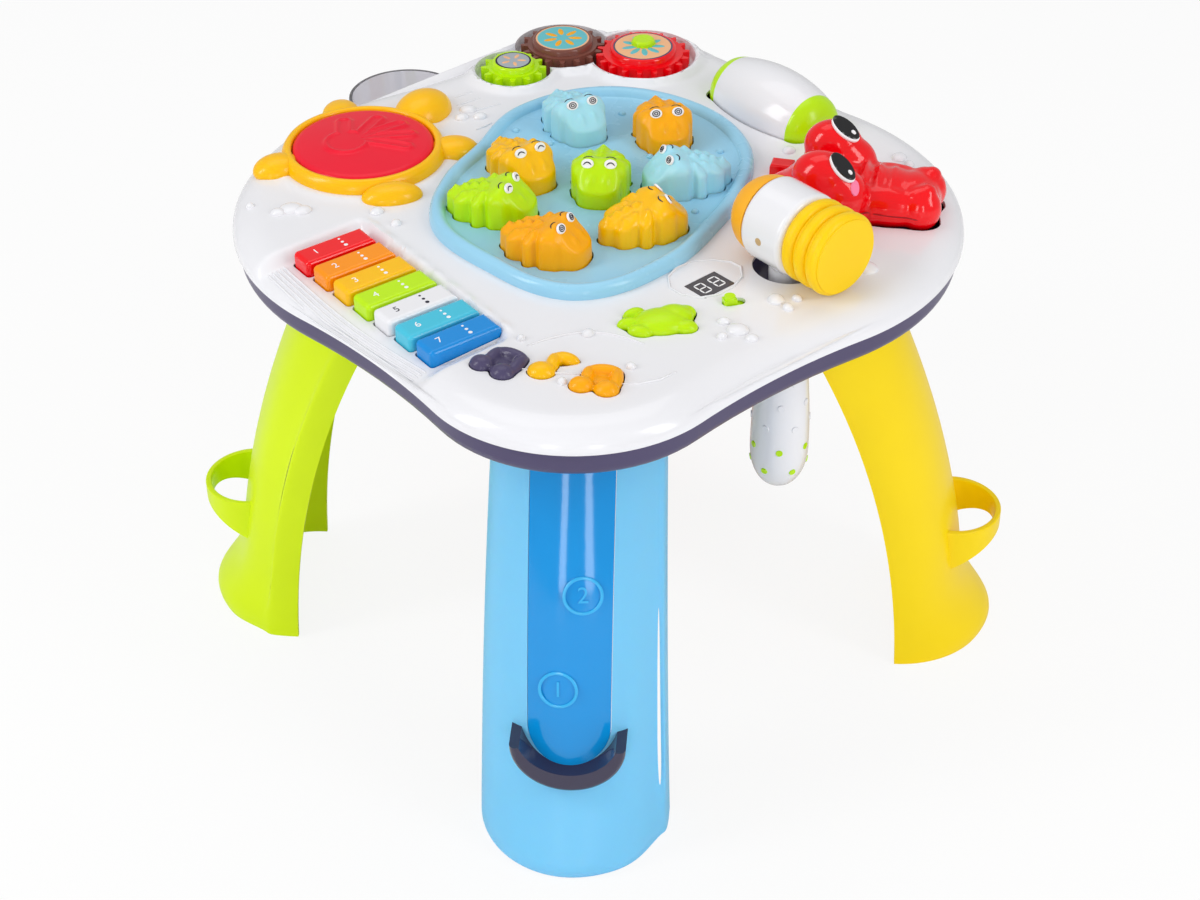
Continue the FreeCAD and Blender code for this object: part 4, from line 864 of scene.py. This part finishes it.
def dino_outline(angle):
    """Reach of the outline at an angle from the head's direction."""
    c, s = math.cos(angle), math.sin(angle)
    length = 28 if c > 0 else 29.5
    width = 18.5 if c > -0.2 else 18.5 - 3.5 * smoothstep((-c - 0.2) / 0.8)
    reach = (abs(c / length) ** 2.6 + abs(s / width) ** 2.6) ** (-1 / 2.6)
    rear = smoothstep((0.5 - c) / 0.5)
    lobe = math.cos(10 * angle)
    neck = math.exp(-((abs(angle_gap(angle)) - 0.72) / 0.15) ** 2)
    return reach + 1.7 * rear * (lobe - 0.35 * lobe * lobe) - 1.8 * neck


def angle_gap(angle):
    return (angle + math.pi) % (2 * math.pi) - math.pi


def dino_height(x, y):
    """Height of the back over the island at a point of the body."""
    level = 19 + 6 * math.exp(-((x - 8) / 10) ** 2) - 3.5 * smoothstep((-x - 8) / 20)
    level -= 4.5 * smoothstep((x - 13) / 14)
    for spot in (-25, -18.5, -12, -5.5):
        level += 3.6 * math.exp(-((x - spot) / 2) ** 2 - (y / 2.8) ** 2)
    for side in (-1, 1):
        level += 1.9 * math.exp(-((x - 10) / 4.6) ** 2 - ((y - side * 7) / 4.4) ** 2)
        level += 2.2 * math.exp(-((x - 21) / 2.2) ** 2 - ((y - side * 4.6) / 2.1) ** 2)
        level += 2.2 * math.exp(-((x + 3) / 2.4) ** 2 - ((y - side * 12) / 2.8) ** 2)
        for spot in (-10, -17):
            level += 1.6 * math.exp(-((x - spot) / 2.2) ** 2 - ((y - side * 8) / 2.4) ** 2)
    return level


DINO_SIDES = 128


def dino_points(sides):
    """Rings of one dinosaur from under the island's face up to the middle of its back."""
    points = []
    rings = [(1.0, -5), (1.0, 0), (0.995, 6)]
    shares = [1, 0.985, 0.96, 0.92, 0.87, 0.82, 0.76, 0.7, 0.64, 0.57, 0.5, 0.43, 0.36, 0.29, 0.22,
              0.15, 0.08]
    for scale, level in rings:
        for step in range(sides):
            angle = 2 * math.pi * step / sides
            points.append((*polar((0, 0), angle, dino_outline(angle) * scale), level))
    for share in shares:
        for step in range(sides):
            angle = 2 * math.pi * step / sides
            x, y = polar((0, 0), angle, dino_outline(angle) * share * 0.99)
            top = dino_height(x, y)
            shoulder = top * 0.66
            dome = max(0, 1 - share ** 3.6) ** (1 / 2.2)
            points.append((x, y, shoulder + (top - shoulder) * dome))
    points.append((0, 0, dino_height(0, 0)))
    return points, len(rings) + len(shares)


def add_dinosaur(number, x, y, heading, look):
    body = "dino_%d_button" % number
    sides = DINO_SIDES
    local, rows = dino_points(sides)
    place = at(x, y, ISLAND_TOP, heading)
    points = [place @ (Vector(point) * MM) / MM for point in local]
    faces = ring_faces(rows, sides) + tip_faces(rows, sides, len(points) - 1)
    dino = mesh_piece("Dinosaur%d" % number, points, faces, look, body, 70)
    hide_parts("dino_%d" % number)
    skin = surface_of(dino)
    ahead = place.to_3x3() @ Vector((1, 0, 0))
    left = place.to_3x3() @ Vector((0, 1, 0))
    for side in (-1, 1):
        above = place @ (Vector((13, side * 7.3, 60)) * MM)
        point, normal, _, _ = skin.ray_cast(above, Vector((0, 0, -1)))
        lean = (normal + ahead * 0.35).normalized()
        spot = frame_on(point - lean * 0.5 * MM, lean, left)
        name = "Dino%dEye%d" % (number, (side + 1) // 2)
        disc(name, spot, 8, 6.2, 1.2, PRINT, body, sides=28)
        if look in (AQUA, ORANGE):
            ring = spot @ at(0, 0, 0.3)
            disc(name + "Ring", ring, 5.4, 4.4, 1.2, INK, body, 0.72, 24)
            disc(name + "InnerRing", ring, 2.8, 2.3, 1.2, INK, body, 0.5, 20)
        else:
            arc = [spot @ (Vector((2.6 * t, 0.9 - 1.7 * t * t, 1.25)) * MM) / MM
                   for t in (-1, -0.6, -0.2, 0.2, 0.6, 1)]
            tube(name + "Smile", arc, 0.4, INK, body)
        brow = []
        for step in range(7):
            swing = (step - 3) / 3
            offset = Vector((13 - 6.4 + 1.3 * swing * swing, side * 7.3 + 3.2 * swing, 60)) * MM
            point, normal, _, _ = skin.ray_cast(place @ offset, Vector((0, 0, -1)))
            brow.append(point / MM + normal * 0.05)
        tube(name + "Brow", brow, 0.42, INK, body)


for number, (x, y, heading, look) in enumerate(DINOS, start=1):
    add_dinosaur(number, x, y, heading, look)


# Island: a dish with a rolled rim, pierced where each dinosaur stands

def dino_hole(x, y, heading, gap=1.0, count=96):
    turn = math.radians(heading)
    loop = []
    for step in range(count):
        angle = 2 * math.pi * step / count
        loop.append(polar((x, y), angle + turn, dino_outline(angle) + gap))
    return loop


ISLAND_PROFILE = ((0, 331), (0, 336), (0.4, 338.2), (1.5, 340), (3.2, 341.1), (5.2, 341.5), (7.2, 341),
                  (8.9, 339.8), (10.1, 338), (10.6, 336.9), (12, 336.2), (14, 336))
PEARLS = ((622, 114), (650, 157), (720, 152), (695, 212), (516, 131), (550, 144))


def add_island():
    points = []
    count = 180
    for inset, level in ISLAND_PROFILE:
        points += [(x, y, level) for x, y in island_loop(inset, count)]
    rows = len(ISLAND_PROFILE)
    faces = ring_faces(rows, count)
    faces.append(last_ring(rows, count))
    lower = len(points)
    points += [(x, y, 331) for x, y in island_loop(10, count)]
    points += [(x, y, 333) for x, y in island_loop(10, count)]
    for step in range(count):
        after = (step + 1) % count
        faces.append((step, after, lower + after, lower + step))
        faces.append((lower + step, lower + after, lower + count + after, lower + count + step))
    faces.append(tuple(range(lower + count, lower + 2 * count)))
    plate = mesh_piece("Island", points, faces, SKY, None, 40)
    cut_with(plate, [prism(dino_hole(x, y, heading), 300, 360) for x, y, heading, _ in DINOS])
    smooth(plate.data, 38)
    dress(plate, SKY)
    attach(plate, "table")
    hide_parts("island_plate")
    for index, (px, py) in enumerate(PEARLS):
        spot = seen_at(px, py, ISLAND_TOP) / MM
        blob("Pearl%d" % index, ((0, 0, 0, 2.6, 2.6, 2.2),), at(spot.x, spot.y, ISLAND_TOP), SKY,
             "table", 0.5, 2, -1)


add_island()


# Drum pad with a raised hand, on polar rings

FINGERS = ((-8, -4, 17, 24, 4), (-8, -1, 29, 12, 4), (-8, 1, 31, -3, 4), (-8, 3, 24, -18, 3.8),
           (-14, -4, -5, 28, 4.6))


def segment_gap(x, y, ax, ay, bx, by):
    dx, dy = bx - ax, by - ay
    t = min(max(((x - ax) * dx + (y - ay) * dy) / (dx * dx + dy * dy), 0), 1)
    return math.hypot(x - ax - dx * t, y - ay - dy * t)


def hand_relief(x, y):
    gap = math.hypot(x + 11, y) - 14
    for ax, ay, bx, by, size in FINGERS:
        gap = min(gap, segment_gap(x, y, ax, ay, bx, by) - size)
    return 1.3 * math.exp(-(gap / 1.6) ** 2) + 0.5 * smoothstep((1.2 - gap) / 2.4)


def add_drum_pad():
    turn = math.radians(25)
    rings = [(DRUM_ROUND, 336.5), (DRUM_ROUND, 339.5), (DRUM_ROUND - 0.6, 340.8), (DRUM_ROUND - 2, 341.6)]
    sides = 220
    points = lathe(DRUM_MIDDLE, rings, sides)
    inner = 46
    for row in range(inner):
        radius = (DRUM_ROUND - 3.5) * (1 - row / inner)
        crown = 341.8 + 3 * (1 - (radius / DRUM_ROUND) ** 2)
        for x, y in circle_loop((0, 0), radius, sides):
            u = x * math.cos(turn) + y * math.sin(turn)
            w = y * math.cos(turn) - x * math.sin(turn)
            points.append((DRUM_MIDDLE[0] + x, DRUM_MIDDLE[1] + y, crown + hand_relief(u, w)))
    points.append((DRUM_MIDDLE[0], DRUM_MIDDLE[1], 344.8))
    rows = len(rings) + inner
    faces = ring_faces(rows, sides) + tip_faces(rows, sides, len(points) - 1)
    pad = mesh_piece("DrumPad", points, faces, DRUM_RED, "drum", 70)
    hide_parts("drum_pad")


add_drum_pad()


# Turtle round the drum: a rolled ring with a head and four feet

TURTLE_PROFILE = ((47.3, 334), (47.3, 340.6), (48, 341.8), (49.6, 342.3), (51.4, 341.6), (53.2, 339),
                  (54.2, 336), (54.6, 333), (54.6, 331))
TURTLE_PARTS = ((31, 60, 0, 23, 18, 15, 62), (59, 8, 0, 17, 13, 10, 10), (27, -54, 0, 20, 11.5, 9.5, 15),
                (-53, -23, 0, 17, 13, 10, 30), (-24, 53, 0, 17, 13, 8, 100))


def add_turtle():
    sides = 120
    points = lathe(DRUM_MIDDLE, TURTLE_PROFILE, sides)
    faces = ring_faces(len(TURTLE_PROFILE), sides)
    ring = mesh_piece("TurtleRing", points, faces, AMBER, "table", 60)
    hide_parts("turtle_ring")
    for index, part in enumerate(TURTLE_PARTS):
        limb = blob("TurtleLimb%d" % index, (part,), at(*DRUM_MIDDLE, TABLE_TOP), AMBER, "table",
                    1.0, 3, -2)


add_turtle()

# Prints and small details

PRINT_LIFT = 0.02
NUMBER_SHIFT, NUMBER_SIZE = -13, 7.5
DOT_SHIFT, DOT_PITCH = 6, 4.2


def key_prints():
    """A number near each key's outer end, and three dots farther in."""
    for number, (x, y) in enumerate(key_spots(), start=1):
        look = INK if number == 5 else PRINT
        body = "key_%d" % number
        middle = at(x, y, KEY_TOP + PRINT_LIFT, KEY_HEADING)
        place = middle @ at(NUMBER_SHIFT, 0, 0)
        words("KeyNumber%d" % number, str(number), place, NUMBER_SIZE, 0.12, look, body)
        for dot in range(3):
            size = 2.6 - 0.5 * dot
            spot = middle @ at(DOT_SHIFT, (dot - 1) * DOT_PITCH, 0)
            disc("KeyDot%d_%d" % (number, dot), spot, size, size, 0.1, look, body, sides=20)


key_prints()


def hub(name, centre, radius, look, body):
    """Raised round boss of a gear, with a rolled edge."""
    profile = ((radius + 1.6, 337.9), (radius + 1.2, 341), (radius + 0.6, 342), (radius - 0.4, 342.4),
               (radius - 1, 342))
    sides = 72
    faces = ring_faces(len(profile), sides)
    faces.append(last_ring(len(profile), sides))
    mesh_piece(name, lathe(centre, profile, sides), faces, look, body, 50)


def badge(name, centre, radius, look, rim, field, mark, body, petals):
    """Plain petals on a round field, on top of a gear's boss."""
    hub(name + "Hub", centre, radius, look, body)
    place = at(centre[0], centre[1], 341.9)
    radius -= 1
    disc(name + "Rim", place, 2 * radius, 2 * radius, 0.3, rim, body, sides=72)
    disc(name + "Field", place, 2 * radius - 2.4, 2 * radius - 2.4, 0.42, field, body, sides=72)
    for index in range(petals):
        turn = Matrix.Rotation(2 * math.pi * index / petals, 4, "Z")
        spot = place @ turn @ at(radius * 0.48, 0, 0.2)
        disc("%sPetal%d" % (name, index), spot, radius * 0.5, radius * 0.2, 0.35, mark, body, sides=24)


badge("BrownBadge", BROWN_PLACE, 20, BROWN, PEACH, TEAL, ORANGE, "gear_brown_wheel", 7)
badge("RedBadge", RED_PLACE, 22, RED, NAVY, PEACH, TEAL, "gear_red_wheel", 9)
badge("GreenBadge", GREEN_PLACE, 13.5, LIME, INK, GREY, PEACH, "gear_green_wheel", 5)


DIGIT_BARS = ((0, 5, 6, 1.1), (0, 0, 6, 1.1), (0, -5, 6, 1.1), (-3, 2.5, 1.1, 4.6), (3, 2.5, 1.1, 4.6),
              (-3, -2.5, 1.1, 4.6), (3, -2.5, 1.1, 4.6))


def add_digits():
    """Two eights of seven bars each in the display window."""
    place = at(*DISPLAY[:2], TABLE_TOP + PRINT_LIFT, DISPLAY[2])
    for index, shift in enumerate((-5.6, 5.6)):
        for bar, (x, y, width, height) in enumerate(DIGIT_BARS):
            spot = place @ at(x + shift, y, 0)
            disc("Digit%dBar%d" % (index, bar), spot, width, height, 0.12, PRINT, "table", sides=16)


add_digits()


def number_rings():
    """Raised numbered rings on the chute."""
    skin = surface_of(nodes["chute_window"])
    for text, px, py in (("1", 558, 690), ("2", 583, 596)):
        point, normal, _, _ = skin.ray_cast(CAMERA_PLACE, sight(px, py))
        if not point:
            continue
        spot = frame_on(point - normal * 0.4 * MM, normal, RIGHT)
        look = plastic("ChuteRelief" + text, "#2FB2EE", 0.2, 0.6)
        disc("NumberRing" + text, spot, 25, 25, 1.1, look, "table", 0.84, 48)
        words("Number" + text, text, spot @ at(0, 0, 0.6), 15, 0.9, look, "table")


number_rings()


def hammer_dots():
    """Small green bumps round the handle."""
    skin = surface_of(nodes["hammer_handle"])
    for row in range(6):
        for step in range(6):
            angle = 2 * math.pi * (step + 0.5 * (row % 2)) / 6
            level = 186 + row * 17
            start = Vector((HAMMER[0] + 60 * math.cos(angle), HAMMER[1] + 60 * math.sin(angle), level)) * MM
            aim = Vector((-math.cos(angle), -math.sin(angle), 0))
            point, normal, _, _ = skin.ray_cast(start, aim)
            spot = frame_on(point - normal * 0.5 * MM, normal, Vector((0, 0, 1)))
            look = LIME if row < 2 else WHITE
            disc("HandleDot%d_%d" % (row, step), spot, 4.6, 4.6, 1.1, look, "hammer", sides=20)


hammer_dots()


RELIEFS = (
    (278, 213, 5), (291, 209, 8), (303, 211, 6), (377, 212, 5), (396, 224, 4), (776, 300, 6), (788, 308, 4),
    (797, 299, 3.5), (738, 330, 7), (724, 322, 4), (752, 339, 4), (722, 337, 3.5), (588, 334, 4.5),
    (521, 339, 3), (562, 382, 3.5), (631, 367, 3.5), (866, 268, 8), (250, 205, 3), (468, 110, 6),
    (480, 117, 5), (462, 118, 5), (789, 151, 5), (899, 158, 6), (909, 165, 4),
)


def shell_reliefs():
    """Staves beside the keys, and clouds and pearls moulded in the white top."""
    for line in range(5):
        path = []
        for step in range(41):
            along = -74 + step * 3.7
            inward = -30 - line * 2.9 - 4 * math.cos(along / 74 * math.pi / 2)
            x = KEY_MIDDLE[0] + math.cos(KEY_TURN) * inward + math.cos(ROW_TURN) * along
            y = KEY_MIDDLE[1] + math.sin(KEY_TURN) * inward + math.sin(ROW_TURN) * along
            gap = edge_gap(x, y)
            if gap > 3:
                path.append((x, y, shell_height(x, y, gap) + 0.1))
        if len(path) > 4:
            tube("Stave%d" % line, path, 0.8, WHITE, "table")
    for index, (px, py, size) in enumerate(RELIEFS):
        blob("Relief%d" % index, ((0, 0, 0, size, size * 0.85, 3),), at(*on_top(px, py), 20 * index),
             WHITE, "table", 0.7, 1, -1)


shell_reliefs()


# Raised lines on the white top, along places in the photograph
STROKES = (
    ((527, 346), (545, 340), (565, 335), (588, 332), (610, 334), (630, 339), (644, 344)),
    ((517, 368), (532, 371), (548, 373), (566, 374), (583, 374)),
    ((622, 384), (640, 384), (660, 380), (676, 372)),
    ((455, 98), (463, 95), (472, 92)), ((457, 106), (468, 102), (480, 98)),
    ((463, 115), (478, 110), (500, 104)),
    ((476, 130), (484, 127), (492, 123)),
    ((690, 262), (676, 268), (668, 277), (670, 288), (682, 295), (700, 298), (718, 295), (733, 287),
     (742, 277), (741, 267), (731, 262), (712, 260), (690, 262)),
)
for index, pixels in enumerate(STROKES):
    tube("Stroke%d" % index, [on_top(px, py, 0.1) for px, py in pixels], 0.85, WHITE, "table")


def hammer_screw():
    skin = surface_of(nodes["hammer_core"])
    point, normal, _, _ = skin.ray_cast(CAMERA_PLACE, sight(758, 242))
    disc("CoreScrew", frame_on(point - normal * 0.2 * MM, normal, UP), 5, 5, 0.4, TAN, "hammer", sides=24)


hammer_screw()


# Floor, lamps and world

def add_stage():
    mesh = bpy.data.meshes.new("Floor")
    half = 6
    corners = [(-half, -half, 0), (half, -half, 0), (half, half, 0), (-half, half, 0)]
    mesh.from_pydata(corners, [], [(0, 1, 2, 3)])
    floor = bpy.data.objects.new("Floor", mesh)
    floor.location.z = -0.0004
    scene.collection.objects.link(floor)
    material = bpy.data.materials.new("FloorPaper")
    material.use_nodes = True
    tree = material.node_tree
    diffuse = tree.nodes["Principled BSDF"]
    diffuse.inputs["Base Color"].default_value = (0.93, 0.93, 0.93, 1)
    diffuse.inputs["Roughness"].default_value = 0.9
    glow = tree.nodes.new("ShaderNodeEmission")
    glow.inputs["Strength"].default_value = 1.0
    path = tree.nodes.new("ShaderNodeLightPath")
    share = tree.nodes.new("ShaderNodeMath")
    share.operation = "MULTIPLY"
    share.inputs[1].default_value = 0.88
    mix = tree.nodes.new("ShaderNodeMixShader")
    tree.links.new(path.outputs["Is Camera Ray"], share.inputs[0])
    tree.links.new(share.outputs[0], mix.inputs[0])
    tree.links.new(diffuse.outputs[0], mix.inputs[1])
    tree.links.new(glow.outputs[0], mix.inputs[2])
    tree.links.new(mix.outputs[0], tree.nodes["Material Output"].inputs["Surface"])
    mesh.materials.append(material)


def add_lamp(name, place, aim, size, power):
    data = bpy.data.lights.new(name, "AREA")
    data.shape = "RECTANGLE"
    data.size, data.size_y = size
    data.energy = power
    lamp = bpy.data.objects.new(name, data)
    lamp.location = place
    lamp.rotation_euler = (Vector(aim) - Vector(place)).to_track_quat("-Z", "Y").to_euler()
    scene.collection.objects.link(lamp)


def add_world():
    world = bpy.data.worlds.new("Studio")
    scene.world = world
    world.use_nodes = True
    tree = world.node_tree
    soft = tree.nodes["Background"]
    soft.inputs["Color"].default_value = (1, 1, 1, 1)
    soft.inputs["Strength"].default_value = 0.5
    white = tree.nodes.new("ShaderNodeBackground")
    white.inputs["Strength"].default_value = 1
    path = tree.nodes.new("ShaderNodeLightPath")
    mix = tree.nodes.new("ShaderNodeMixShader")
    tree.links.new(path.outputs["Is Camera Ray"], mix.inputs[0])
    tree.links.new(soft.outputs[0], mix.inputs[1])
    tree.links.new(white.outputs[0], mix.inputs[2])
    tree.links.new(mix.outputs[0], tree.nodes["World Output"].inputs["Surface"])


add_camera()
add_stage()
add_lamp("LeftSoftbox", (-1.6, -0.7, 1.4), (0, 0, 0.25), (0.5, 1.4), 15)
add_lamp("RightSoftbox", (1.5, -0.9, 1.3), (0, 0, 0.25), (0.5, 1.4), 12)
add_lamp("TopSoftbox", (-0.2, 0.5, 1.9), (0, 0, 0.3), (1.4, 1.0), 5)
for side in (-1, 1):
    add_lamp("FrontStrip%d" % (side + 1), (0.1 + side * 0.55, -2.3, 0.6), (0, 0, 0.15), (0.3, 1.1), 5)
add_world()
scene.view_settings.view_transform = "Standard"
